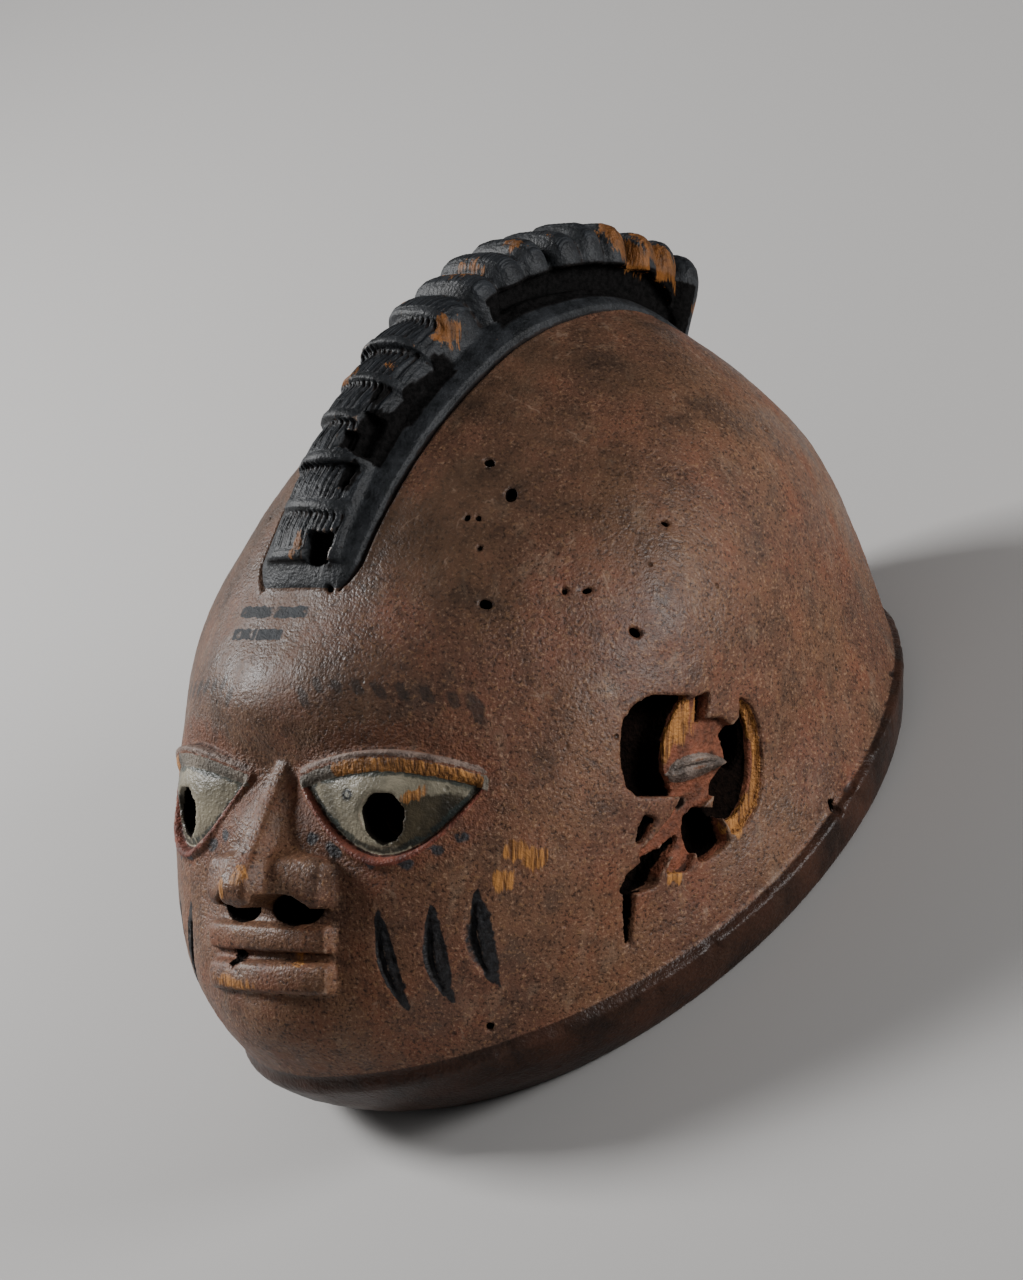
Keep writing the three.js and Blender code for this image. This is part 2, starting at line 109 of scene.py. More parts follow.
# The nose from the top down: up, half width and height of the ridge, half width and height of the wings.
NOSE_MIDDLE = 3
NOSE_ROOT = -16
NOSE_STEPS = 49
NOSE = (
    (7, 3, 3, 5, 0),
    (0, 3.2, 6.5, 6, 1),
    (-9, 3.5, 12, 8, 3),
    (-18, 4, 17, 10.5, 6),
    (-24, 4.5, 21, 13.5, 8.5),
    (-27, 5.3, 23.5, 25, 11.5),
    (-33, 6, 27.5, 26, 13),
    (-39, 6.2, 27, 26, 13.5),
    (-42, 5.5, 23, 25, 11.5),
)
NOSTRIL_ACROSS = 11.8
NOSTRIL_UP = -42.5
NOSTRIL_HALF_WIDTH = 9.2
NOSTRIL_HALF_HEIGHT = 5
NOSTRIL_SECTIONS = ((-3, 0.7), (5, 0.95), (24, 1.1))

LIPS_MIDDLE = 3
LIP_HALF_LENGTH = 27
LIPS = ((-51.5, 4.6, 16.5, 12), (-64, 5, 17, 12))
LIP_SECTION = (
    (-1, 22), (-1, 3.6), (-0.96, 1.6), (-0.82, 0.5), (-0.4, 0.1), (0, 0), (0.5, 0.2), (0.72, 0.6),
    (0.95, 2.4), (1, 4.2), (1, 22),
)
LIP_STATIONS = (-1, -0.97, -0.9, -0.75, -0.5, -0.25, 0, 0.25, 0.5, 0.75, 0.9, 0.97, 1)
LIP_END = 0.82

# An eye's frame: its middle in the face's frame, turned outward round the cheek.
EYE_ACROSS = 41.5
EYE_UP = -9
EYE_OUT = -9.5
EYE_TURN = math.radians(22)
EYE_HALF_LENGTH = 33
EYE_CORNER_UP = 8.5
EYE_RISE = 15
EYE_DROP = 17.5
EYE_POINT = 1.9
EYE_BULGE = 13
EYE_ROOT = -14
EYE_SHARES = (1, 0.93, 0.85, 0.75, 0.62, 0.5, 0.36, 0.2, 0.08)
SOCKET_SHARE = 0.98
LID_SHARE = 1.02
LID_STEPS = 49
PUPIL_RADIUS = 7.6
PUPIL_DROP = 3.8
# The hole's edge is broken in two places: degrees round it, how far and how wide.
PUPIL_CHIPS = ((300, 1.7, 0.22), (328, 1.1, 0.14))
# A lid across its length: up from the eye's outline, and how far it stands out of the eyeball.
UPPER_LID = (
    (-4.6, -9), (-4.6, 0.8), (-4.3, 1.9), (-3.6, 2.3), (-0.9, 2.9), (-0.6, 1.6), (0.2, 1.7), (0.5, 3.1),
    (1.2, 3.4), (1.9, 2.4), (2.1, -9),
)
LOWER_LID = (
    (-2.5, -9), (-2.5, 1.2), (-2, 3.2), (-1.1, 4.1), (0, 4.1), (0.9, 3), (1.2, -0.2), (1.5, -1.4), (1.8, -9),
)
LID_END = 0.33

CHEEK_CUTS = (((44, -41), (49, -75)), ((59.5, -40), (58.5, -72)), ((70.5, -35), (68, -66.5)))
CUT_HALF_WIDTH = 2.9
CUT_DEPTH = 3.6
CUT_RIDGE = 0.12
CUT_STEPS = 29

# Hollows of the ear: depth, and an outline of points back and up in the face's frame.
EAR_CLEAR = 12
EAR_HOLLOWS = (
    (15, ((54.5, 2), (54.2, 9), (55.6, 16.5), (59.7, 21.5), (65.9, 24.2), (80.5, 24), (75.5, 16.5),
          (72.3, 9), (72.9, 0), (76, -4.6), (79.2, -7.9), (71, -8.1), (61, -7.8), (56.4, -4.6))),
    (2.6, ((101.5, 23.2), (108.5, 20.2), (112.7, 12.7), (114.4, 3.5), (114.5, -5), (111.9, -12.2),
           (107.7, -17.5), (101, -21.5), (99.3, -17.9), (92.1, -11.6), (94, -4.3), (99.7, 2.2),
           (98.7, 5.9), (95.4, 10.8), (101.9, 16.7))),
    (7, ((102.3, 22), (107, 18.3), (110, 12), (111.2, 3.5), (111, -4.5), (108.6, -10.8), (104.6, -15.5),
         (99, -17.6), (92.5, -11.8), (94, -4.3), (99.7, 2.2), (98.7, 5.9), (95.4, 10.8), (101.9, 16.7))),
    (15, ((102.5, 21), (106.3, 17.8), (109, 11.8), (110, 3.5), (106.5, -1.5), (101, 1), (98.7, 5.9),
          (95.4, 10.8), (101.9, 16.7))),
    (15, ((83.6, -15), (87, -12), (93.2, -12.4), (98, -18), (100.4, -23), (95.8, -26.6),
          (88.5, -29.6), (85.3, -25), (83.2, -20))),
    (12, ((80.4, -19.9), (81.4, -22.8), (76.8, -27.1), (74, -32.1), (72.6, -36.2), (66.8, -38.3),
          (61, -38.9), (58.4, -37.4), (60.5, -31.7), (66.2, -27.4), (73.9, -24.5))),
    (6, ((64.1, -12.8), (69.4, -14.8), (66.9, -19.2), (63.9, -23.3), (61.1, -21.6), (62, -16.8))),
    (10, ((60.1, -37.5), (65.2, -37.5), (65.7, -48), (65.6, -57), (64.9, -57), (62.6, -48))),
    (2.6, ((81.8, 23.7), (85.2, 24), (85.3, 14.8), (76.3, 12.6), (74.6, 3.5), (71, 1.2), (71, 9.7),
           (75, 18.1))),
    (9, ((84.8, 24.6), (88.2, 24.8), (87.2, 15), (85, 14.9))),
    (3, ((73.3, 12.1), (77.7, 15), (86.7, 16.6), (94.3, 16.6), (99, 13.8), (99.8, 0.4), (92.7, -7.9),
         (87, -12), (84, -13.7), (84.6, -22), (86.2, -27), (84.3, -32), (75.2, -32.8), (79.6, -21),
         (71, -26.1), (64.6, -28.4), (63.3, -25.1), (73.4, -15.3), (77.6, -8.7), (72.4, 1.3))),
)

LEAF_START = 74.5
LEAF_LENGTH = 26
LEAF_HALF_WIDTH = 4.2

# The crest runs over the top along an arc in degrees round this point beside the hollow.
CREST_CENTRE = np.array([0, 40, 60.0])
PLATE_FRONT = 131.5
PLATE_BACK = 31
PLATE_HALF_WIDTH = 21.5
PLATE_SPREAD = 3.5
PLATE_THICKNESS = 4.5
PLATE_EDGE = 1.3
PLATE_ROOT = 7
PLATE_END = 1 / 30
PLATE_STEPS = 121
PLAITS = 16
PLAIT_FRONT = 128
FIRST_PLAIT = 7.2
LAST_PLAIT = 5.2
PLAIT_HALF_WIDTH = 17
FIRST_ROUND_PLAIT = 4.5
ALL_ROUND_PLAIT = 7.5
CREST_RADIUS = 136
CREST_SWELL = 6
CREST_SWELL_AT = 0.78
CORE_HALF_WIDTH = 12
PLAIT_STATIONS = (0, 0.35, 0.6, 0.78, 0.88, 0.95, 0.985, 1)
# Along a plait: a share of its length, how far below the crest's radius, a share of its width.
# The front ones are cut like tiles that slip under each other; the top ones are round like fingers.
FRONT_PLAIT = (
    (0.16, 10, 0.97), (0.08, 5.5, 0.98), (0.0, 2.2, 1), (0.01, 0.5, 1), (0.05, 0, 1), (0.19, 0.1, 1),
    (0.24, 0.9, 1), (0.6, 1.5, 1), (0.9, 2.8, 0.99), (1.1, 4, 0.97), (1.12, 10, 0.95),
)
TOP_PLAIT = (
    (0.03, 12, 0.78), (0.02, 7, 0.8), (0.02, 5, 0.83), (0.07, 3, 0.88), (0.17, 1.2, 0.96), (0.33, 0.2, 1.02),
    (0.5, 0, 1.04), (0.67, 0.3, 1.02), (0.84, 1.5, 0.95), (0.96, 4.2, 0.84), (0.98, 12, 0.78),
)
# Where wood has broken out of the front plaits: from and to sideways, from and to in degrees, depth.
PLAIT_SLOTS = (
    (3.5, 14, 128.2, 123.6, 9), (9.5, 13, 117, 113.2, 8), (8, 17, 111.5, 104.8, 10), (4, 10, 111, 108, 7),
    (15, 19, 103.5, 98.5, 7), (7.5, 10, 103, 100, 5), (16, 19.5, 97, 91.5, 7),
)
# The crest is cut in under the last plaits: degrees, how far above the plate and how far in.
CREST_RECESS = (76, 33, 3.5, 17, 10.5)

# Small worm holes: a place on the outside, and a radius.
WORM_HOLES = (
    ((45.1, 10.3, 161.8), 1.4), ((55.5, 3.1, 154.2), 1.8), ((51.8, -10, 155.3), 1.05),
    ((48.8, -11.8, 156.9), 1.05), ((56.2, -19.5, 150.4), 1.05), ((88.9, 24.1, 123.6), 1.15),
    ((64.3, -35.3, 140.7), 1.6), ((79.8, -17.3, 130.9), 1.2), ((84.1, -13.1, 127.3), 1.4),
    ((94.7, -13.6, 110.3), 1.6), ((74, 93.2, 107.2), 1.2), ((105.4, 11.3, 14), 1.5),
    ((61.2, -118.5, 36.2), 1.3), ((13.8, -46.7, 157.3), 1.2), ((-52, 21, 156), 1.3),
    ((-83, 45, 122), 1.2), ((-95, 10, 100), 1.5), ((-70, 105, 92), 1.1), ((20, 140, 95), 1.3),
    ((-30, 148, 60), 1.1), ((-9, -141.2, 81), 1.6), ((-97, -40, 30), 1.2), ((40, 138, 40), 1.4),
    ((-60, 118, 110), 1.1),
)
HEAD_MIDDLE = np.array([0, 20, 60.0])

# Raw wood shows where paint and wood are chipped or rubbed off: a place and its reach each way.
RAW_PATCHES = (
    ((0.5, -39.5, 170), (1.6, 6, 7)), ((9, 24, 196), (5, 5, 5)), ((14.5, 36, 197), (5, 6, 5)),
    ((17, 47, 190), (6, 6, 8)), ((3, 76, 193), (8, 5, 5)), ((9, 95, 190), (6, 5, 5)),
    ((11, 106, 185), (6, 5, 5)), ((14, 134, 158), (9, 7, 14)), ((14, 143, 144), (9, 6, 13)),
    ((16, 146, 113), (7, 6, 9)), ((-15, 60, 196), (7, 6, 5)), ((-16, 118, 172), (6, 7, 8)),
    ((-8, 20, 193), (5, 5, 4)), ((78.2, -86.9, 83.7), (5, 4, 3)), ((82.5, -83.6, 77.9), (7, 5, 3.5)),
    ((76.3, -94, 77.4), (4.5, 4, 3.5)), ((-2.6, -132.6, 106.4), (3, 5, 4)),
    ((6.3, -131.5, 111), (4, 5, 3.5)), ((-10, -146, 76), (14, 6, 2.6)), ((19, -137, 80.5), (5, 3, 1.6)),
    ((54.5, -91.4, 110.5), (5, 4, 1.8)), ((101, -23, 37), (5, 4, 3)), ((97, -51, 41), (5, 3.4, 3)),
    ((-88, 96, 70), (5, 9, 12)), ((-70, -96, 60), (5, 5, 6)), ((-30, 139, 88), (8, 5, 9)),
)

# Grain of the mesh that is carved further.
VOXEL = 0.75
MOST_TRIANGLES = 170000

# The knife's slow swells and the crust of paint: height and breadth in mm, and a seed.
SWELLS = ((0.45, 26, 1), (0.22, 11, 2))
CRUST = ((0.1, 3.2, 3), (0.07, 1.7, 4))
CHIP_DEPTH = 1.1
# From one strand of hair to the next in mm.
STRAND = 2.3


# Curves and the head's plain form.

def spread(*values):
    """Numbers and arrays as arrays of one shape."""
    return np.broadcast_arrays(*(np.asarray(value, float) for value in values))


def through(values, t):
    """A smooth curve through evenly numbered values, with one more value past each end."""
    values = np.asarray(values, float)
    i = np.clip(np.floor(t).astype(int), 0, len(values) - 4)
    s = t - i
    a, b, c, d = (values[i + step] for step in range(4))
    bends = (c - a) * s + (2 * a - 5 * b + 4 * c - d) * s ** 2 + (3 * b - a - 3 * c + d) * s ** 3
    return b + bends / 2


def with_ends(values, at_crown, mirrored):
    last = -values[-1] if mirrored else values[-1]
    return np.array([2 * values[0] - values[1], *values, at_crown, last])


def smooth(low, high, value):
    s = np.clip((value - low) / (high - low), 0, 1)
    return s * s * (3 - 2 * s)


def bell(distance, reach):
    return np.exp(-(distance / reach) ** 2)


sections = np.array(SECTIONS, float)
CROWN = len(SECTIONS)
HEIGHTS = with_ends(sections[:, 0], CROWN_HEIGHT, False)
MIDDLES = with_ends((sections[:, 1] + sections[:, 2]) / 2, CROWN_Y, False)
HALF_LENGTHS = with_ends((sections[:, 2] - sections[:, 1]) / 2, 0, True)
HALF_WIDTHS = with_ends(sections[:, 3], 0, True)
LEVEL_TABLE = np.linspace(0, CROWN, 600)
HEIGHT_TABLE = through(HEIGHTS, LEVEL_TABLE)


def squareness(height):
    share = smooth(SQUARER_FROM, SQUARER_TO, height)
    return FACE_SQUARENESS + (FOREHEAD_SQUARENESS - FACE_SQUARENESS) * share


def head_point(t, angle):
    """The head at level t, 0 at the rim, and at an angle from +X with the face at -90 degrees."""
    t, angle = spread(t, angle)
    height = through(HEIGHTS, t)
    power = np.where(np.sin(angle) < 0, 2 / squareness(height), 1)
    sine = np.sign(np.sin(angle)) * np.abs(np.sin(angle)) ** power
    cosine = np.sign(np.cos(angle)) * np.abs(np.cos(angle)) ** power
    y = through(MIDDLES, t) + through(HALF_LENGTHS, t) * sine
    return np.stack([through(HALF_WIDTHS, t) * cosine, y, height], -1)


def head_normal(t, angle):
    step = 0.01
    t = np.asarray(t, float)
    rise = head_point(np.minimum(t + step, CROWN - step), angle) - head_point(np.maximum(t - step, 0), angle)
    run = head_point(t, angle + step) - head_point(t, angle - step)
    normal = np.cross(run, rise)
    return normal / np.linalg.norm(normal, axis=-1, keepdims=True)


def outside_head(points):
    """Below zero inside the plain head and above zero outside it."""
    t = np.interp(points[..., 2], HEIGHT_TABLE, LEVEL_TABLE)
    y = (points[..., 1] - through(MIDDLES, t)) / np.maximum(through(HALF_LENGTHS, t), 1e-3)
    x = points[..., 0] / np.maximum(through(HALF_WIDTHS, t), 1e-3)
    power = np.where(y < 0, squareness(points[..., 2]), 2)
    value = np.abs(x) ** power + np.abs(y) ** power - 1
    return np.where(points[..., 2] >= CROWN_HEIGHT, 1, value)


def surface_from(at, search, count):
    """Halves the stretch that is searched until it closes on the head's surface."""
    low, high = (np.full(count, float(end)) for end in search)
    for _ in range(HALVINGS):
        middle = (low + high) / 2
        inside = outside_head(at(middle)) < 0
        low, high = np.where(inside, middle, low), np.where(inside, high, middle)
    return (low + high) / 2


# The frames in which features are measured.

def from_face(across, up, out):
    across, up, out = spread(across, up, out)
    point = FACE_START + up[..., None] * FACE_UP + out[..., None] * FACE_OUT
    return point + across[..., None] * np.array([1.0, 0, 0])


def to_face(points):
    offset = points - FACE_START
    return points[..., 0], offset @ FACE_UP, offset @ FACE_OUT


def from_eye(side, along, up, out):
    along, up, out = spread(along, up, out)
    across = EYE_ACROSS + along * math.cos(EYE_TURN) + out * math.sin(EYE_TURN)
    forward = EYE_OUT - along * math.sin(EYE_TURN) + out * math.cos(EYE_TURN)
    return from_face(side * across, EYE_UP + up, forward)


def to_eye(points):
    """Along, up and out in the frame of the eye on each point's own side."""
    across, up, out = to_face(points)
    x, forward = np.abs(across) - EYE_ACROSS, out - EYE_OUT
    along = x * math.cos(EYE_TURN) - forward * math.sin(EYE_TURN)
    return along, up - EYE_UP, x * math.sin(EYE_TURN) + forward * math.cos(EYE_TURN)


def crest_point(x, degrees, radius):
    x, degrees, radius = spread(x, degrees, radius)
    angle = np.radians(degrees)
    return CREST_CENTRE + np.stack([x, radius * np.cos(angle), radius * np.sin(angle)], -1)


def to_crest(points):
    """Sideways, degrees along the arc and distance from its centre."""
    y, z = points[..., 1] - CREST_CENTRE[1], points[..., 2] - CREST_CENTRE[2]
    return points[..., 0], np.degrees(np.arctan2(z, y)), np.hypot(y, z)


def face_form(across, up):
    out = 0
    for middle, height, wide, tall, proud in FACE_FORMS:
        out = out + proud * bell(np.abs(across) - middle, wide) * bell(up - height, tall)
    return out


def face_surface(across, up):
    across, up = spread(across, up)
    plain = surface_from(lambda out: from_face(across, up, out), FACE_SEARCH, across.shape)
    return plain + face_form(across, up)


def side_surface(back, up):
    back, up = spread(back, up)
    return surface_from(lambda x: from_face(x, up, -back), SIDE_SEARCH, back.shape)


def crown_surface(x, degrees):
    x, degrees = spread(x, degrees)
    return surface_from(lambda radius: crest_point(x, degrees, radius), CROWN_SEARCH, x.shape)


# Solids from rings of points, joined and cut.

def turned(count):
    return np.arange(count) * 2 * np.pi / count


def loft(name, rings):
    """A closed object from rings of the same number of points, with a flat end at each end."""
    rings = np.asarray(rings, float)
    levels, count = rings.shape[:2]
    ends = rings[[0, -1]].mean(axis=1)
    points = np.concatenate([rings.reshape(-1, 3), ends]) - [0, ORIGIN_Y, 0]
    faces = []
    for r in range(levels - 1):
        for i in range(count):
            a, b = r * count + i, r * count + (i + 1) % count
            faces.append((a, b, b + count, a + count))
    for start, middle in ((0, levels * count), ((levels - 1) * count, levels * count + 1)):
        for i in range(count):
            a, b = start + i, start + (i + 1) % count
            faces.append((middle, b, a) if start == 0 else (middle, a, b))
    mesh = bpy.data.meshes.new(name)
    mesh.from_pydata((points / 1000).tolist(), [], faces)
    mesh.validate()
    piece = bpy.data.objects.new(name, mesh)
    bpy.context.collection.objects.link(piece)
    shaped = bmesh.new()
    shaped.from_mesh(mesh)
    bmesh.ops.triangulate(shaped, faces=shaped.faces)
    bmesh.ops.recalc_face_normals(shaped, faces=shaped.faces)
    if shaped.calc_volume(signed=True) < 0:
        bmesh.ops.reverse_faces(shaped, faces=shaped.faces)
    shaped.to_mesh(mesh)
    shaped.free()
    return piece


def choose(pieces):
    """Selects these objects alone, the first one as the active one."""
    bpy.ops.object.select_all(action="DESELECT")
    for piece in pieces:
        piece.select_set(True)
    bpy.context.view_layer.objects.active = pieces[0]


def apply_modifier(piece, kind, **settings):
    modifier = piece.modifiers.new(kind.lower(), kind)
    for name, value in settings.items():
        setattr(modifier, name, value)
    choose([piece])
    bpy.ops.object.modifier_apply(modifier=modifier.name)


def work(piece, tools, operation):
    """Adds solids that are clear of each other to the piece, or cuts them away, and puts them away."""
    choose(tools)
    if len(tools) > 1:
        bpy.ops.object.join()
    apply_modifier(piece, "BOOLEAN", operation=operation, solver="MANIFOLD", object=tools[0])
    bpy.data.objects.remove(tools[0])


def noise(points, size, seed=0):
    """Smooth noise from -1 to 1, with bumps about size mm across."""
    place = points / size
    cell = np.floor(place).astype(np.int64)
    share = place - cell
    share = share * share * (3 - 2 * share)
    total = np.zeros(len(points))
    for corner in itertools.product((0, 1), repeat=3):
        x, y, z = (cell + corner).T
        mixed = (x * 374761393 + y * 668265263 + z * 2147483647 + seed * 1274126177) & 0xFFFFFFFF
        mixed = ((mixed ^ (mixed >> 13)) * 1274126177) & 0xFFFFFFFF
        value = ((mixed ^ (mixed >> 16)) & 0xFFFF) / 32767.5 - 1
        total += value * np.prod(np.where(corner, share, 1 - share), axis=1)
    return total


def head_solid():
    angles = turned(HEAD_AROUND)
    t = np.linspace(0, CROWN, HEAD_LEVELS)[:, None]
    points = head_point(t, angles)
    facing = smooth(0.1, 0.5, head_normal(np.minimum(t, CROWN - SHORT_OF_CROWN), angles) @ FACE_OUT)
    across, up, _ = to_face(points)
    return loft("head", points + (facing * face_form(across, up))[..., None] * FACE_OUT)


def hollow_solid():
    """The space for the wearer's head, with the shallow marks that the adze left in its wall."""
    angles = turned(HOLLOW_AROUND)
    t = np.minimum(np.linspace(0, CROWN, HOLLOW_LEVELS), CROWN - SHORT_OF_CROWN)[:, None]
    normal = head_normal(t, angles)
    rings = head_point(t, angles) - WALL * normal
    marks = noise(rings.reshape(-1, 3) * [1, 1, 0.6], 11, 40) + 0.6 * noise(rings.reshape(-1, 3), 5, 41)
    rings -= ADZE_MARK_DEPTH * marks.reshape(*rings.shape[:2], 1) * normal
    rings[0, :, 2] = 0
    below = rings[:1] - [0, 0, WALL]
    return loft("hollow", np.concatenate([below, rings]))


def band_solid():
    angles = turned(BAND_AROUND)
    rise = np.where(np.sin(angles) < 0, BAND_RISE_CHIN, BAND_RISE_NAPE)
    rings = []
    for share, proud in BAND_SECTION:
        height = share * (BAND_HEIGHT + rise * np.sin(angles) ** 2)
        points = head_point(np.interp(height, HEIGHT_TABLE, LEVEL_TABLE), angles)
        outward = points * [1, 1, 0]
        rings.append(points + proud * outward / np.linalg.norm(outward, axis=-1, keepdims=True))
    return loft("band", rings)


def nose_solid():
    rows = np.array(NOSE, float)[::-1]
    ends = np.concatenate([2 * rows[:1] - rows[1:2], rows, 2 * rows[-1:] - rows[-2:-1]])
    rings = []
    for t in np.linspace(0, len(rows) - 1, NOSE_STEPS):
        up, ridge, ridge_out, wing, wing_out = (through(ends[:, column], t) for column in range(5))
        half = (
            (0, ridge_out + 0.2), (ridge * 0.7, ridge_out), (ridge, ridge_out - 1),
            (ridge + 2, 0.45 * ridge_out + 0.55 * wing_out), (wing * 0.95, wing_out + 0.8),
            (wing, wing_out - 0.4), (wing, NOSE_ROOT),
        )
        left = [from_face(NOSE_MIDDLE + x, up, out) for x, out in reversed(half)]
        right = [from_face(NOSE_MIDDLE - x, up, out) for x, out in half[1:]]
        rings.append(left + right)
    return loft("nose", rings)


def nostril_solid(side):
    angles = turned(24)
    rings = [from_face(
        NOSE_MIDDLE + side * NOSTRIL_ACROSS + size * NOSTRIL_HALF_WIDTH * np.cos(angles),
        NOSTRIL_UP + size * NOSTRIL_HALF_HEIGHT * np.sin(angles), out,
    ) for out, size in NOSTRIL_SECTIONS]
    return loft("nostril", rings)


def lip_solid(up, half_height, out, end_out):
    rings = []
    for s in LIP_STATIONS:
        size = LIP_END if abs(s) == 1 else 1
        front = end_out + (out - end_out) * (1 - s * s)
        rings.append([from_face(
            LIPS_MIDDLE + s * LIP_HALF_LENGTH, up + height * half_height * size, front - behind,
        ) for height, behind in LIP_SECTION])
    return loft("lip", rings)


def eye_edges(along):
    """Up of the almond outline above and below: a low arch and a deeper curve."""
    arch = 1 - np.abs(np.clip(along / EYE_HALF_LENGTH, -1, 1)) ** EYE_POINT
    above, below = (EYE_RISE - EYE_CORNER_UP) * arch, (EYE_DROP + EYE_CORNER_UP) * arch
    return EYE_CORNER_UP + above, EYE_CORNER_UP - below


def eye_outline(angle, share):
    along = EYE_HALF_LENGTH * np.cos(angle)
    top, low = eye_edges(along)
    return along * share, np.where(np.sin(angle) > 0, top, low) * share


def eyeball_out(along, share):
    return EYE_BULGE * (1 - (along / EYE_HALF_LENGTH) ** 2) * (1 - 0.3 * share * share)


def eye_ring(side, share, out=None):
    along, up = eye_outline(turned(72), share)
    return from_eye(side, along, up, eyeball_out(along, share) if out is None else out)


def eyeball_solid(side):
    return loft("eyeball", [eye_ring(side, 1, EYE_ROOT)] + [eye_ring(side, share) for share in EYE_SHARES])


def socket_solid(side):
    return loft("socket", [eye_ring(side, SOCKET_SHARE, out) for out in (-4, 30)])


def lid_solid(side, section, start):
    rings = []
    for s in np.linspace(0, 1, LID_STEPS):
        along, up = eye_outline(start + math.pi * s, LID_SHARE)
        out = eyeball_out(along, 1)
        size = LID_END + (1 - LID_END) * math.sqrt(max(math.sin(math.pi * s), 0))
        rings.append([from_eye(
            side, along, up + height * size, out + (proud if proud < 0 else proud * size),
        ) for height, proud in section])
    return loft("lid", rings)


def pupil_solid(side):
    """The hole that the wearer looks through, its edge broken at the lower outer side."""
    angles = turned(60)
    broken = sum(deep * bell(angles - math.radians(at), wide) for at, deep, wide in PUPIL_CHIPS)
    radius = PUPIL_RADIUS + 0.25 * np.sin(3 * angles) + 0.2 * np.sin(7 * angles)
    rings = []
    for out, chipped in ((-60, 0), (0, 0), (6, 0.3), (30, 1)):
        wide = radius + chipped * broken
        rings.append(from_eye(side, wide * np.cos(angles), -PUPIL_DROP + wide * 1.06 * np.sin(angles), out))
    return loft("pupil", rings)


def cut_width(share):
    """Half the width of a cheek cut, which is leaf-shaped, at a share of its length."""
    return CUT_HALF_WIDTH * np.sin(math.pi * (0.04 + 0.92 * share))


def cheek_groove(side, top, bottom, half):
    s = np.linspace(0, 1, CUT_STEPS)
    width = cut_width(s)
    across = side * (top[0] + (bottom[0] - top[0]) * s)
    up = top[1] + (bottom[1] - top[1]) * s
    surface = face_surface(across, up)
    deep = CUT_DEPTH * (0.3 + 0.7 * np.sin(math.pi * s))
    inner, outer = half * CUT_RIDGE * width, half * width
    section = ((inner, 6), (inner, 0.6), ((inner + outer) / 2, -deep), (outer, 0.6), (outer, 6))
    rings = [from_face(across + x, up, surface + out) for x, out in section]
    return loft("cheek_cut", np.stack(rings, 1))


def ear_hollow(side, depth, outline):
    back, up = np.array(outline, float).T
    rings = [from_face(side * (side_surface(back, up) + out), up, -back) for out in (-depth, EAR_CLEAR)]
    return loft("ear_hollow", rings)


def plate_thickness(share):
    """The plate stands proud in its middle and runs out thin at its edges."""
    return PLATE_THICKNESS - (PLATE_THICKNESS - PLATE_EDGE) * np.abs(share) ** 3


def plate_end(degrees):
    """A share of the plate's length, and how far it has come out of its rounded front end, up to 1."""
    share = np.clip((PLATE_FRONT - degrees) / (PLATE_FRONT - PLATE_BACK), 0, 1)
    return share, np.minimum(1, share / PLATE_END)


def plate_edge(degrees):
    share, full = plate_end(degrees)
    half = PLATE_HALF_WIDTH + PLATE_SPREAD * np.sin(math.pi * share)
    return half * (0.8 + 0.2 * full ** 0.6)


def plate_solid():
    share = np.linspace(-1, 1, 25)
    rings = []
    for degrees in np.linspace(PLATE_FRONT, PLATE_BACK, PLATE_STEPS):
        half = plate_edge(degrees)
        top = share * half
        under = np.linspace(1, -1, 5) * half
        thick = plate_thickness(share) * (0.3 + 0.7 * plate_end(degrees)[1])
        rings.append(np.concatenate([
            crest_point(top, degrees, crown_surface(top, degrees) + thick),
            crest_point(under, degrees, crown_surface(under, degrees) - PLATE_ROOT),
        ]))
    return loft("plate", rings)


def plait_start(number):
    shorter = (FIRST_PLAIT - LAST_PLAIT) / (PLAITS - 1)
    return PLAIT_FRONT - FIRST_PLAIT * number + shorter * number * (number - 1) / 2


def plait_radius(number):
    swell = CREST_SWELL * bell(number / (PLAITS - 1) - CREST_SWELL_AT, 0.25)
    return CREST_RADIUS + swell - (0.9 if number % 3 == 1 else 0)


def plait_half_width(number):
    by_eye = 0.96 + 0.04 * math.cos(5 * number)
    return PLAIT_HALF_WIDTH * by_eye * (1 - 0.12 * smooth(0.85, 1, number / (PLAITS - 1)))


def plait_roundness(number):
    """0 for the tile-like plaits in front, 1 for the finger-like ones on top."""
    return smooth(FIRST_ROUND_PLAIT, ALL_ROUND_PLAIT, number)


def core_solid():
    """The solid middle of the crest, which closes the gaps between the plaits."""
    rings = []
    for degrees in np.linspace(PLAIT_FRONT - 3, PLATE_BACK + 3, 60):
        x = np.array([-1, -0.9, -0.4, 0.4, 0.9, 1]) * CORE_HALF_WIDTH
        top = CREST_RADIUS - np.array([9, 7, 6, 6, 7, 9])
        root = float(crown_surface(0.0, degrees)) - 4
        rings.append(np.concatenate([crest_point(x, degrees, np.maximum(top, root + 2)),
                                     crest_point(x[[-1, 0]], degrees, root)]))
    return loft("core", rings)


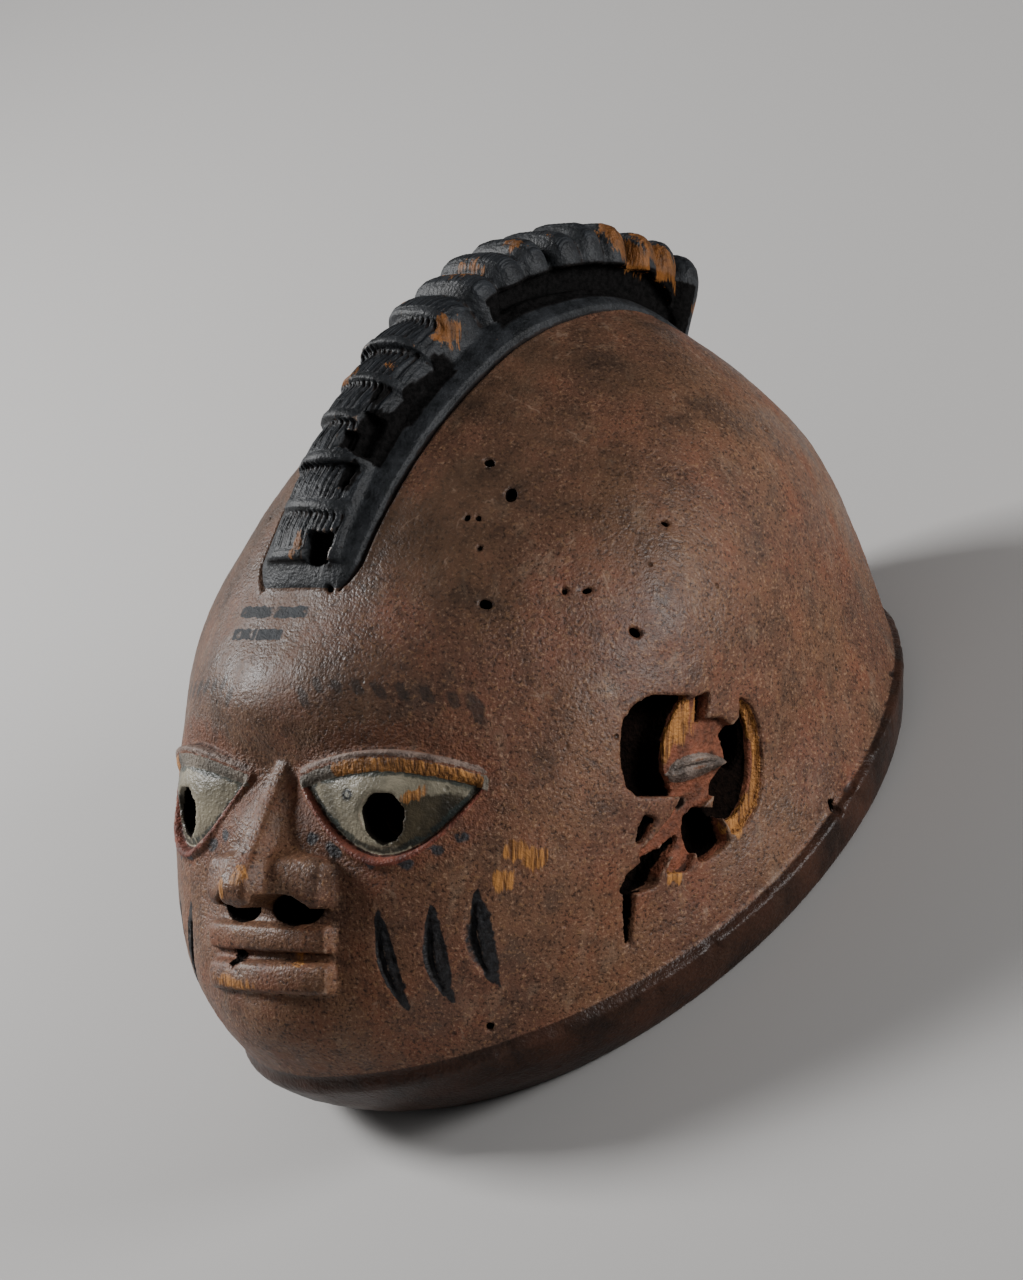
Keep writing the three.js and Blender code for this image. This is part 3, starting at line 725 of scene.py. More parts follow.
def plait_solid(number):
    front = plait_start(number)
    length = plait_start(number + 1) - front
    roundness = plait_roundness(number)
    profile = (1 - roundness) * np.array(FRONT_PLAIT) + roundness * np.array(TOP_PLAIT)
    depth = 1 + 0.5 * smooth(11, 13, number)
    square = 1.9 + 1.7 * roundness
    skew = 0.6 * math.sin(2.3 * number)
    x = np.concatenate([-np.array(PLAIT_STATIONS[:0:-1]), PLAIT_STATIONS])
    rings = []
    for s, lower, wide in profile:
        across = x * plait_half_width(number) * wide
        degrees = front + length * s + skew * x
        plate = crown_surface(across, degrees) + plate_thickness(across / PLATE_HALF_WIDTH) - 0.4
        shoulder = (1 - np.abs(x) ** square) ** (1 / square)
        radius = plate + np.maximum(plait_radius(number) - lower * depth - plate, -6) * shoulder
        root = crown_surface(0, degrees[[-1, 0]]) - 6
        rings.append(np.concatenate([
            crest_point(across, degrees, radius), crest_point(across[[-1, 0]], degrees[[-1, 0]], root),
        ]))
    return loft("plait", rings)


def plait_slot(left, right, front, back, depth):
    """A pocket with ragged walls, from the outside of the crest inward."""
    radius = CREST_RADIUS + 3
    rings = []
    for out in (0, -0.45 * (depth + 3), -depth - 3):
        taper = 1 + out / 60
        x = (left + right) / 2 + (right - left) / 2 * taper * np.array([-1, 0, 1, 1, 1, 0, -1, -1])
        between = (front + back) / 2
        degrees = [front, front + 0.4, front - 0.3, between, back, back + 0.4, back, between]
        rings.append(crest_point(x, degrees, radius + out))
    return loft("slot", rings)


def crest_recess(side):
    front, back, low, high, deep = CREST_RECESS
    rings = []
    for degrees in np.linspace(front, back, 40):
        tall = low + (high - low) * math.sin(math.pi * (front - degrees) / (front - back)) ** 0.5
        crown = float(crown_surface(0.0, degrees)) + PLATE_THICKNESS - 2.4
        top = min(crown + tall, CREST_RADIUS - 8)
        corners = ((deep, crown), (30, crown + 1), (30, top), (deep, top - 2))
        rings.append([crest_point(side * x, degrees, radius) for x, radius in corners])
    return loft("recess", rings)


def inward_from(place):
    """The way into the wood from a place on the outside."""
    inward = HEAD_MIDDLE - place
    return inward / np.linalg.norm(inward)


def worm_hole(place, radius):
    """A short tunnel that a worm left, square to the surface."""
    inward = inward_from(place)
    across = np.cross(inward, [0.3, 0.5, 0.8])
    across /= np.linalg.norm(across)
    other = np.cross(inward, across)
    angles = turned(12)[:, None]
    wobble = 1 + 0.25 * np.sin(2 * angles + place[0])
    rings = []
    for deep, wide in ((-4, 1.4), (0.3, 1.15), (7, 0.9)):
        ring = np.cos(angles) * across + np.sin(angles) * other
        rings.append(place + inward * deep + ring * wobble * radius * wide)
    return loft("worm_hole", rings)


def carved_mask():
    mask = head_solid()
    mask.name = mask.data.name = "carved_mask"
    both = (1, -1)
    work(mask, [band_solid()], "UNION")
    work(mask, [socket_solid(side) for side in both], "DIFFERENCE")
    work(mask, [eyeball_solid(side) for side in both], "UNION")
    work(mask, [lid_solid(side, UPPER_LID, 0) for side in both], "UNION")
    work(mask, [lid_solid(side, LOWER_LID, math.pi) for side in both], "UNION")
    work(mask, [nose_solid()], "UNION")
    work(mask, [lip_solid(*lip) for lip in LIPS], "UNION")
    work(mask, [plate_solid()], "UNION")
    work(mask, [core_solid()], "UNION")
    # Neighbours overlap, so every second one goes in at once.
    for first in (0, 1):
        work(mask, [plait_solid(number) for number in range(first, PLAITS, 2)], "UNION")
    work(mask, [pupil_solid(side) for side in both], "DIFFERENCE")
    work(mask, [nostril_solid(side) for side in both], "DIFFERENCE")
    work(mask, [cheek_groove(side, top, bottom, half) for side in both for half in both
                for top, bottom in CHEEK_CUTS], "DIFFERENCE")
    for depth, outline in EAR_HOLLOWS:
        work(mask, [ear_hollow(side, depth, outline) for side in both], "DIFFERENCE")
    work(mask, [crest_recess(side) for side in both], "DIFFERENCE")
    for first in (0, 1):
        work(mask, [plait_slot(*slot) for slot in PLAIT_SLOTS[first::2]], "DIFFERENCE")
    work(mask, [worm_hole(place, radius) for place, radius in WORM_HOLES], "DIFFERENCE")
    return mask


# The finer carving is worked into the dense mesh, point by point.

def places_and_normals(piece):
    count = len(piece.data.vertices)
    places = np.empty(3 * count)
    piece.data.vertices.foreach_get("co", places)
    normals = np.empty(3 * count, np.float32)
    piece.data.vertex_normals.foreach_get("vector", normals)
    return places.reshape(-1, 3) * 1000 + [0, ORIGIN_Y, 0], normals.reshape(-1, 3).astype(float)


def zones(points):
    """Shares from 0 to 1 of the parts that each point belongs to, and its place on the crest and the eye."""
    x, degrees, radius = to_crest(points)
    near_top = (points[:, 2] > 60) & (np.abs(x) < 30) & (degrees > 20) & (degrees < 140)
    crown = np.full(len(points), float(CROWN_SEARCH[1]))
    crown[near_top] = crown_surface(x[near_top], degrees[near_top])
    crest = smooth(0.7, -0.1, np.abs(x) - plate_edge(degrees)) * (radius > crown - 8)
    crest *= smooth(PLATE_FRONT + 0.5, PLATE_FRONT - 0.3, degrees) * (degrees > PLATE_BACK - 8)
    along, up, out = to_eye(points)
    top, low = eye_edges(along)
    over, above = up - top, up - low
    near_eye = smooth(1.02, 0.96, np.abs(along) / EYE_HALF_LENGTH) * (np.abs(out) < 24)
    proud = out - eyeball_out(np.clip(along, -EYE_HALF_LENGTH, EYE_HALF_LENGTH), 0.9)
    band = near_eye * smooth(-5, -4.2, over) * smooth(0.2, -0.8, over) * (proud > -3)
    ridge = near_eye * smooth(0, 0.6, over) * smooth(2.6, 2, over) * (proud > -5)
    lower = near_eye * smooth(-2.6, -1.2, above) * smooth(1.9, 1, above) * (over < -2) * (proud > -8)
    # The left lid's paint is gone from most of its length, and the right one's from its outer half.
    bare = np.where(points[:, 0] > 0, smooth(-21, -15, along) * smooth(33, 29, along), smooth(6, 13, along))
    return {
        "crest": crest, "x": x, "degrees": degrees, "radius": radius, "crown": crown,
        "eye": near_eye * smooth(-3.6, -4.4, over) * smooth(1.3, 2, above), "over": over, "above": above,
        "lid_band": band, "upper_lid": ridge, "lower_lid": lower, "bare_lid": bare * band,
        "outer": smooth(-0.38, -0.32, outside_head(points)),
    }


def plait_share(zone, number):
    """0 at the front edge of this plait and 1 at the next one's."""
    front = plait_start(number)
    return (front - zone["degrees"]) / (front - plait_start(number + 1))


def relief(points):
    """How far in mm each point moves out along its normal."""
    zone = zones(points)
    # Slow swells and flats that an adze and knife leave, then the crust of paint.
    move = sum(height * noise(points, size, seed) for height, size, seed in SWELLS)
    move += (1 - zone["crest"]) * sum(height * noise(points, size, seed) for height, size, seed in CRUST)
    # Strands run along the plaits from the ledge to where the next one covers them.
    for number in range(PLAITS):
        share = plait_share(zone, number)
        on_slope = smooth(0.22, 0.3, share) * smooth(1.02, 0.96, share) * (1 - 0.85 * plait_roundness(number))
        on_top = on_slope * smooth(-9, -6, zone["radius"] - plait_radius(number)) * zone["crest"]
        cut = on_top > 0
        shaken = zone["x"][cut] + 0.5 * noise(points[cut], 9, 20 + number)
        wave = smooth(-0.3, 0.8, np.cos(2 * math.pi * shaken / STRAND))
        move[cut] -= (0.35 + 0.45 * share[cut]) * on_top[cut] * wave
    # A narrow groove with a raised lip runs round the crest's plate.
    beside = np.abs(zone["x"]) - plate_edge(zone["degrees"])
    on_arc = (zone["degrees"] < PLATE_FRONT + 0.5) * (zone["degrees"] > 45)
    on_plate = zone["radius"] < zone["crown"] + 7
    move += on_arc * on_plate * (0.5 * bell(beside - 2.6, 1) - 1.3 * bell(beside - 0.9, 0.8))
    # The band's worn edge is chipped.
    rim = smooth(34, 20, points[:, 2]) * zone["outer"]
    chips = smooth(0.35, 0.75, noise(points * [1, 1, 0.6], 7, 5))
    band_edge = bell(points[:, 2] - 12 - 18 * np.clip(-points[:, 1] / 140, 0, 1) ** 2, 5)
    move -= CHIP_DEPTH * rim * chips * band_edge
    return move * smooth(0, 3, points[:, 2])


def below_side(across, up, out, near):
    """How far in mm the points near an ear lie below the head's plain side, and 0 for the others."""
    depth = np.zeros(len(across))
    depth[near] = side_surface(-out[near], up[near]) - np.abs(across[near])
    return depth


def leaf_place(back, up):
    """How far from a leaf's middle line in mm, and half the leaf's width there."""
    t = np.clip((back - LEAF_START) / LEAF_LENGTH, 0.001, 0.999)
    middle = 0.26 * (back - LEAF_START) - 0.005 * (back - LEAF_START) ** 2 - 1
    return up - middle, LEAF_HALF_WIDTH * 2.6 * np.sqrt(t) * (1 - t)


def ear_form(back, up):
    """How far in mm the wood between the ear's hollows moves outward: a boss, a leaf on it and a knob."""
    move = 1.8 * bell(np.hypot(back - 86, (up - 6) * 1.2), 9) - 0.8
    # A leaf of two ridges with a groove between lies across the boss.
    beside, half = leaf_place(back, up)
    swell = np.clip(1 - (beside / half) ** 2, 0, 1)
    move += 2.8 * swell ** 0.7 - 1.7 * bell(beside - 0.25 * half, 0.6) * (swell > 0)
    move += 2 * bell(np.hypot(back - 80, (up + 28) * 0.8), 4)
    return move - 1.2 * bell(np.hypot(back - 83, up + 11), 4)


def carve_relief(piece):
    points, normals = places_and_normals(piece)
    points += relief(points)[:, None] * normals
    across, up, out = to_face(points)
    near_ear = (np.abs(across) > 80) & (np.abs(out + 85) < 40) & (np.abs(up + 8) < 45)
    depth = below_side(across, up, out, near_ear)
    level = near_ear * smooth(1.2, 2.2, depth) * smooth(5.5, 4.3, depth)
    points[:, 0] += np.sign(across) * level * ear_form(-out, up)
    piece.data.vertices.foreach_set("co", ((points - [0, ORIGIN_Y, 0]) / 1000).ravel())
    piece.data.update()


mask = carved_mask()
apply_modifier(mask, "REMESH", mode="VOXEL", voxel_size=VOXEL / 1000, adaptivity=0)
apply_modifier(mask, "SMOOTH", factor=0.5, iterations=1)
carve_relief(mask)
mask.data.calc_loop_triangles()
apply_modifier(mask, "DECIMATE", ratio=MOST_TRIANGLES / len(mask.data.loop_triangles))
work(mask, [hollow_solid()], "DIFFERENCE")


# Where paint, wear and painted shade lie, stored point by point for the material.

def neighbours_mean(values, a, b, count):
    total = np.zeros(len(values))
    np.add.at(total, a, values[b])
    np.add.at(total, b, values[a])
    return total / np.maximum(count, 1)


def bent(piece, points, normals):
    """Above zero on outer edges and below zero in hollows."""
    edges = np.empty(2 * len(piece.data.edges), np.int32)
    piece.data.edges.foreach_get("vertices", edges)
    a, b = edges.reshape(-1, 2).T
    count = np.bincount(edges, minlength=len(points)).astype(float)
    step = points[b] - points[a]
    length = np.maximum(np.linalg.norm(step, axis=1), 1e-6)
    bend = np.zeros(len(points))
    np.add.at(bend, a, -np.einsum("ij,ij->i", step, normals[a]) / length)
    np.add.at(bend, b, np.einsum("ij,ij->i", step, normals[b]) / length)
    bend /= np.maximum(count, 1)
    for _ in range(2):
        bend = 0.5 * bend + 0.5 * neighbours_mean(bend, a, b, count)
    return bend


def strand_zone(zone):
    """1 where strands are cut into the plaits, 0 on the ledges and beside the plaits."""
    strands = np.zeros(len(zone["degrees"]))
    for number in range(PLAITS):
        share = plait_share(zone, number)
        on_top = smooth(-10, -6, zone["radius"] - plait_radius(number))
        strands = np.maximum(strands, smooth(0.2, 0.3, share) * smooth(1.02, 0.95, share) * on_top)
    return strands * smooth(PLAIT_HALF_WIDTH, PLAIT_HALF_WIDTH - 1.5, np.abs(zone["x"])) * zone["crest"]


def broken_crest(points, zone):
    """The undercut of the crest, and where its plaits have broken out."""
    x, degrees, out = zone["x"], zone["degrees"], zone["radius"] - CREST_RADIUS
    cove = (degrees < 78) * (degrees > 31) * smooth(21, 17, np.abs(x)) * (points[:, 2] > 60)
    cove = cove * smooth(1.5, 2.5, zone["radius"] - zone["crown"]) * smooth(-7, -10, out)
    slots = np.zeros(len(points))
    for left, right, front, back, _ in PLAIT_SLOTS:
        within = smooth(1, 0, left - x) * smooth(1, 0, x - right)
        within *= smooth(1, 0.3, degrees - front) * smooth(1, 0.3, back - degrees)
        slots = np.maximum(slots, within * smooth(-3.5, -5.5, out))
    return cove, slots


def near_lids(points):
    """1 round the eyes, where the paint lies thick and crumbly, 0 away from them."""
    along, up, out = to_eye(points)
    around = np.hypot(along / 1.35, (up - 3) * 1.15)
    return smooth(33, 24, around) * (out > -25) * (points[:, 1] < 0)


def near_cuts(across, up, out):
    """1 in the three cuts of each cheek, 0 away from them."""
    near = np.zeros(len(across))
    for top, bottom in CHEEK_CUTS:
        place = np.stack([np.abs(across), up], -1) - top
        way = np.subtract(bottom, top)
        share = np.clip(place @ way / (way @ way), 0, 1)
        distance = np.linalg.norm(place - share[:, None] * way, axis=1)
        near = np.maximum(near, smooth(0.5, -0.5, distance - cut_width(share)))
    return near * (out > -60)


def deep_holes(points):
    """1 in the pupils, the nostrils and the worm holes, which get near-black painted shade."""
    along, eye_up, eye_out = to_eye(points)
    ball = eyeball_out(np.clip(along, -EYE_HALF_LENGTH, EYE_HALF_LENGTH), 0.3)
    holes = smooth(PUPIL_RADIUS + 2.5, PUPIL_RADIUS + 1.5, np.hypot(along, eye_up + PUPIL_DROP))
    holes *= smooth(1, 2.4, ball - eye_out) * (eye_out > -20)
    across, up, out = to_face(points)
    nostril = np.hypot((np.abs(across - NOSE_MIDDLE) - NOSTRIL_ACROSS) / NOSTRIL_HALF_WIDTH,
                       (up - NOSTRIL_UP) / NOSTRIL_HALF_HEIGHT)
    holes = np.maximum(holes, smooth(1.14, 1, nostril) * smooth(14, 8, out) * (out > -10))
    for place, radius in WORM_HOLES:
        offset = points - place
        sunk = offset @ inward_from(place)
        beside = np.linalg.norm(offset - sunk[:, None] * inward_from(place), axis=1)
        holes = np.maximum(holes, smooth(1.8, 1.5, beside / radius) * smooth(0.5, 1.4, sunk) * (sunk < 12))
    return holes


def ear_zones(across, up, out):
    """The ear's hollows, which get painted shade, its painted boss, the leaf on it and the edges that are
    worn to raw wood.
    """
    back = -out
    near = (np.abs(across) > 70) & (np.abs(back - 85) < 40) & (np.abs(up + 14) < 50)
    depth = below_side(across, up, out, near)
    narrow = ((back < 67.5) & (up < -36)) | ((back < 70) & (up > -24) & (up < -12))
    hollows = near * np.where(narrow, smooth(1.5, 2.6, depth), smooth(5, 6.2, depth))
    boss = near * smooth(0.5, 1.6, depth) * smooth(6, 5, depth) * (up > -34)
    beside, half = leaf_place(back, up)
    leaf = boss * smooth(0.5, -0.3, np.abs(beside) - half)
    on_rim = smooth(17, 20, np.hypot((back - 93) * 0.95, up - 1)) * (back > 97)
    on_edge = bell(np.hypot((back - 77) * 0.8, (up - 17) * 0.6), 6)
    on_edge += bell(np.hypot(back - 71.5, (up - 7) * 0.5), 3)
    worn = near * smooth(1.1, 1.8, depth) * smooth(5.5, 4.5, depth) * (up > -21)
    return hollows, boss, leaf, worn * np.clip(on_rim + on_edge, 0, 1)


# The colour attributes of the mask, and the zones that their red, green and blue hold.
STORED = {
    "paint": ("crest", "eye", "raw"), "wear_and_shade": ("edge", "hollow", "band"),
    "relief": ("strand", "black", "crumbs"), "dark": ("cut", "ear", "inside"),
    "lids": ("lid_band", "lower_lid", "upper_lid"), "eyes": ("painted_eye_shade", "eye_line_and_lid_shadow", "crest_raw"),
    "ears": ("boss", "leaf"),
}


def colour_zones(piece):
    """Stores, point by point, what the paint, the wear and the painted shade follow."""
    points, normals = places_and_normals(piece)
    bend = bent(piece, points, normals)
    zone = zones(points)
    across, up, out = to_face(points)
    along, eye_up, _ = to_eye(points)
    # Painted shade on the lower outer part of each eyeball.
    shaded = np.hypot((along - 14 - 0.5 * (eye_up + 6)) / 16, (eye_up + 5.5) / 9.5)
    zone["painted_eye_shade"] = zone["eye"] * smooth(1.15, 0.75, shaded)
    # A painted shadow just under the upper lid's band, and a dark painted line along the lower lid.
    zone["eye_line_and_lid_shadow"] = zone["eye"] * np.maximum(bell(zone["over"] + 5.2, 0.9), bell(zone["above"] - 3.1, 1.3))
    hollows, boss, leaf, worn = (share * zone["outer"] for share in ear_zones(across, up, out))
    raw = np.maximum(worn, zone["bare_lid"])
    for place, reach in RAW_PATCHES:
        raw = np.maximum(raw, bell(np.linalg.norm((points - place) / reach, axis=1), 1))
    # The crest's undercut and broken slots, which are given painted shadow.
    cove, slots = broken_crest(points, zone)
    rise = np.where(points[:, 1] < 0, BAND_RISE_CHIN, BAND_RISE_NAPE)
    band_top = BAND_HEIGHT + rise * (points[:, 1] / 140) ** 2
    zone.update(
        raw=raw,
        crest_raw=raw * zone["crest"],
        boss=boss,
        leaf=leaf,
        # Near-black painted shade in the ear's hollows, the pupils, the nostrils and the worm holes.
        ear=np.maximum(hollows, deep_holes(points)),
        edge=smooth(0.04, 0.22, bend),
        # Painted shade in concave places, in the crest's undercut and in its broken slots.
        hollow=np.maximum(smooth(0.03, 0.2, -bend), np.maximum(cove, slots)),
        band=smooth(1.5, -0.5, points[:, 2] - band_top * 1.08) * zone["outer"],
        inside=1 - zone["outer"],
        strand=strand_zone(zone),
        # Painted shadow, near black, under the crest's undercut and in its broken slots.
        black=smooth(0, 1, slots + cove),
        crumbs=near_lids(points) * (1 - zone["eye"]),
        cut=near_cuts(across, up, out) * zone["outer"],
    )
    for name, parts in STORED.items():
        colours = np.ones((len(points), 4), np.float32)
        for i, part in enumerate(parts):
            colours[:, i] = zone[part]
        attribute = piece.data.attributes.new(name, "FLOAT_COLOR", "POINT")
        attribute.data.foreach_set("color", colours.ravel())


colour_zones(mask)
choose([mask])
bpy.ops.object.shade_smooth()


# Materials.

def linear(hex_code):
    """An sRGB hex colour as linear red, green, blue and alpha."""
    values = [int(hex_code[i:i + 2], 16) / 255 for i in (1, 3, 5)]
    return [v / 12.92 if v <= 0.04045 else ((v + 0.055) / 1.055) ** 2.4 for v in values] + [1]


def add(kind, inputs, output=0, **settings):
    """Adds a node to the wood's material, sets and links its inputs, and gives one of its outputs."""
    node = wood.node_tree.nodes.new("ShaderNode" + kind)
    for name, value in settings.items():
        setattr(node, name, value)
    for name, value in inputs.items():
        if isinstance(value, bpy.types.NodeSocket):
            wood.node_tree.links.new(value, node.inputs[name])
        else:
            node.inputs[name].default_value = value
    return node.outputs[output]


# Painted wood: a hard tropical wood, carved with adze and knife, painted in thin earth colours, then
# rubbed, chipped and greased by years of use.
wood = bpy.data.materials.new("carved_painted_wood")
wood.use_nodes = True
shader = wood.node_tree.nodes["Principled BSDF"]
place = add("TexCoord", {}, "Object")

# The block's grain runs up the face: across it, along it and out of the face.
block_place = add("Mapping", {
    "Vector": place, "Rotation": (math.pi / 2 - FACE_TILT, 0, 0),
}, vector_type="TEXTURE")

# Noises: bump size in mm, detail, roughness, and how much each direction is drawn out.
NOISES = {
    "patches": (46, 2, 0.55, (1, 1, 1)),
    "clouds": (17, 3, 0.62, (1, 0.8, 1)),
    "mottle": (5.5, 3, 0.7, (1, 1, 1)),
    "grit": (1.7, 2, 0.65, (1, 1, 1)),
    "specks": (1.05, 2, 0.5, (1, 1, 1)),
    "grain": (1.2, 2, 0.6, (1, 0.07, 1)),
    "strands": (1.5, 2, 0.6, (1, 0.05, 0.05)),
    "dust_and_sheen": (9, 3, 0.7, (1, 0.35, 1)),
    "streaks": (2.8, 3, 0.7, (1, 0.13, 1)),
}
noises = {}
for name, (size, detail, rough, drawn) in NOISES.items():
    stretched = add("Mapping", {"Vector": block_place, "Scale": drawn})
    noises[name] = add("TexNoise", {
        "Vector": stretched, "Scale": 1000 / size, "Detail": detail, "Roughness": rough,
    }, "Fac")

# The stored zones, as single values.
zone = {}
for name, parts in STORED.items():
    stored = add("Attribute", {}, "Color", attribute_name=name)
    for i, part in enumerate(parts):
        zone[part] = add("SeparateColor", {"Color": stored}, i)

# The zones' borders are drawn ragged: which noise moves them, how far, and where they begin and end.
BORDERS = {
    "crest": ("specks", 0.25, 0.52, 0.72), "eye": ("specks", 0.3, 0.5, 0.8),
    "raw": ("streaks", 1.5, 0.5, 0.72), "edge": ("mottle", 1.1, 0.75, 1.15),
    "hollow": ("mottle", 0.5, 0.4, 0.9), "band": ("mottle", 0.4, 0.45, 0.9),
    "cut": ("specks", 0.4, 0.5, 0.8), "ear": ("grit", 0.4, 0.4, 0.75), "inside": ("grit", 0.1, 0.5, 0.7),
    "lid_band": ("grit", 0.4, 0.5, 0.8), "lower_lid": ("mottle", 0.7, 0.55, 0.95),
    "upper_lid": ("grit", 0.7, 0.55, 0.95), "strand": ("grit", 0.3, 0.4, 0.8),
    "black": ("grit", 0.3, 0.3, 0.8), "crumbs": ("mottle", 1.6, 0.6, 1.3),
    "painted_eye_shade": ("mottle", 1.5, 0.45, 0.95), "eye_line_and_lid_shadow": ("mottle", 1.2, 0.5, 0.9),
    "crest_raw": ("streaks", 1.5, 0.5, 0.72), "boss": ("grit", 0.7, 0.5, 0.9),
    "leaf": ("grit", 0.4, 0.5, 0.8),
}
# How much of its colour each zone or mark shows, by name.
shown = {}
for part, (by, far, low, high) in BORDERS.items():
    moved = add("Math", {0: noises[by], 1: far, 2: zone[part]}, operation="MULTIPLY_ADD")
    moved_low, moved_high = (end + far / 2 - 0.15 for end in (low, high))
    shown[part] = add("MapRange", {
        "Value": moved, "From Min": moved_low, "From Max": moved_high,
    }, interpolation_type="SMOOTHSTEP")

# Painted marks, in the face's frame in mm, mirrored where both sides have them.
UNSTEADY_HAND = 0.0016
wobble = add("TexNoise", {"Vector": place, "Scale": 1000 / 3, "Detail": 1}, "Color")
shaken = add("VectorMath", {
    0: wobble, 1: [UNSTEADY_HAND] * 3, 2: place,
}, operation="MULTIPLY_ADD")
face_place = add("Mapping", {
    "Vector": shaken, "Location": (FACE_START - [0, ORIGIN_Y, 0]) / 1000 + UNSTEADY_HAND / 2,
    "Rotation": (math.pi / 2 - FACE_TILT, 0, 0), "Scale": [0.001] * 3,
}, vector_type="TEXTURE")
both_sides = add("VectorMath", {0: face_place}, operation="ABSOLUTE")
across_of = add("SeparateXYZ", {0: both_sides}, "X")
parts_of = [add("SeparateXYZ", {0: face_place}, part) for part in ("Y", "Z")]
mirrored = add("CombineXYZ", {"X": across_of, "Y": parts_of[0], "Z": parts_of[1]})
# Across, up, half length, half thickness, turn in degrees, mirrored.
MARKS = {
    "bars": (
        (-17, 51.3, 8.2, 1.8, 0, False), (0, 51.3, 7.6, 1.8, 0, False),
        (-19, 44.2, 6.6, 1.8, 0, False), (-6, 44.2, 6, 1.8, 0, False),
    ),
    "nail": ((33.8, -6, 2.3, 2.3, 0, False),),
    "nail_middle": ((33.8, -6, 1.1, 1.1, 0, False),),
    "dashes": (
        (17.6, 24.3, 3.8, 1.6, -58, True), (22.2, 28.4, 3, 1.5, -50, True), (29, 28, 2.8, 1.5, -50, True),
        (35.6, 27.7, 3.4, 1.4, -50, True), (42.2, 26.8, 3.4, 1.5, -48, True),
        (49, 26.2, 3.6, 1.6, -55, True), (56, 25.2, 3.6, 1.6, -55, True), (62.8, 23.6, 2.8, 1.4, -60, True),
        (68.5, 20.5, 5.6, 1.6, -68, True),
    ),
    "dots": (
        (42.6, -27.3, 2, 1.9, 0, True), (53.2, -27.4, 1.9, 1.8, 0, True), (61.1, -23.3, 1.8, 1.7, 0, True),
        (67.4, -19, 1.7, 1.6, 0, True), (28.5, -23.7, 3.4, 1.9, -30, True), (20.6, -20.1, 2.2, 1.9, 0, True),
    ),
}
MARK_DEPTH = 12
for name, shapes in MARKS.items():
    brush = None
    for across, up, half_length, half_thick, turn, on_both in shapes:
        out = float(face_surface(across, up))
        inside_mark = add("Mapping", {
            "Vector": mirrored if on_both else face_place, "Location": (across, up, out),
            "Rotation": (0, 0, math.radians(turn)), "Scale": (half_length, half_thick, MARK_DEPTH),
        }, vector_type="TEXTURE")
        # Squared twice, a place gives the bars square ends where it gives the other marks round ones.
        for _ in range(2 if name == "bars" else 0):
            inside_mark = add("VectorMath", {0: inside_mark, 1: inside_mark}, operation="MULTIPLY")
        distance = add("VectorMath", {0: inside_mark}, "Value", operation="LENGTH")
        shape = add("MapRange", {"Value": distance, "From Min": 1.25, "From Max": 0.8})
        brush = shape if brush is None else add("Math", {0: brush, 1: shape}, operation="MAXIMUM")
    worn = add("MapRange", {"Value": noises["mottle"], "From Min": 0.3, "From Max": 0.42})
    shown[name] = add("Math", {0: brush, 1: worn}, operation="MULTIPLY")

# Worm pits: one in a few cells of a fine net of cells, sunk by the bump and darkened with painted shade.
cells = add("TexVoronoi", {"Vector": place, "Scale": 1000 / 4.2}, "Distance")
lucky = add("MapRange", {"Value": cells.node.outputs["Color"], "From Min": 0.86, "From Max": 0.96})
middle = add("MapRange", {"Value": cells, "From Min": 0.26, "From Max": 0.1})
shown["pits"] = add("Math", {0: lucky, 1: middle}, operation="MULTIPLY")

# The top of the head is darker in patches; thin scratches run over it.
up_of = add("SeparateXYZ", {0: place}, "Z")
high = add("MapRange", {"Value": up_of, "From Min": 0.105, "From Max": 0.165})
top_patches = add("MapRange", {"Value": noises["patches"], "From Min": 0.32, "From Max": 0.54})
shown["top_darkening"] = add("Math", {0: high, 1: top_patches}, operation="MULTIPLY")
bent_place = add("VectorMath", {0: wobble, 1: [0.004] * 3, 2: place}, operation="MULTIPLY_ADD")
lines = add("TexVoronoi", {"Vector": bent_place, "Scale": 1000 / 45}, feature="DISTANCE_TO_EDGE")
thin = add("MapRange", {"Value": lines, "From Min": 0.009, "From Max": 0.003})
some = add("MapRange", {"Value": noises["dust_and_sheen"], "From Min": 0.52, "From Max": 0.6})
shown["scratches"] = add("Math", {0: thin, 1: some}, operation="MULTIPLY")

# The layers of colour, each over the last: where from its source and how strong, and its colour.
LAYERS = (
    ("patches", 0.4, 0.64, 0.75, "#6d4e39"),
    ("clouds", 0.5, 0.68, 0.5, "#774631"),
    ("clouds", 0.46, 0.33, 0.6, "#483a31"),
    ("mottle", 0.48, 0.34, 0.6, "#3d2a21"),
    # Grey dust, which also stands in for a painted sheen.
    ("dust_and_sheen", 0.56, 0.74, 0.35, "#8c7763"),
    ("grit", 0.56, 0.7, 0.45, "#8d6a4a"),
    ("specks", 0.43, 0.33, 0.8, "#291a13"),
    ("specks", 0.6, 0.72, 0.5, "#a4846a"),
)
colour = linear("#5e4032")
for source, low, high, strength, hex_code in LAYERS:
    share = add("MapRange", {
        "Value": noises[source], "From Min": low, "From Max": high, "To Max": strength,
    })
    colour = add("Mix", {0: share, 6: colour, 7: linear(hex_code)}, 2, data_type="RGBA")

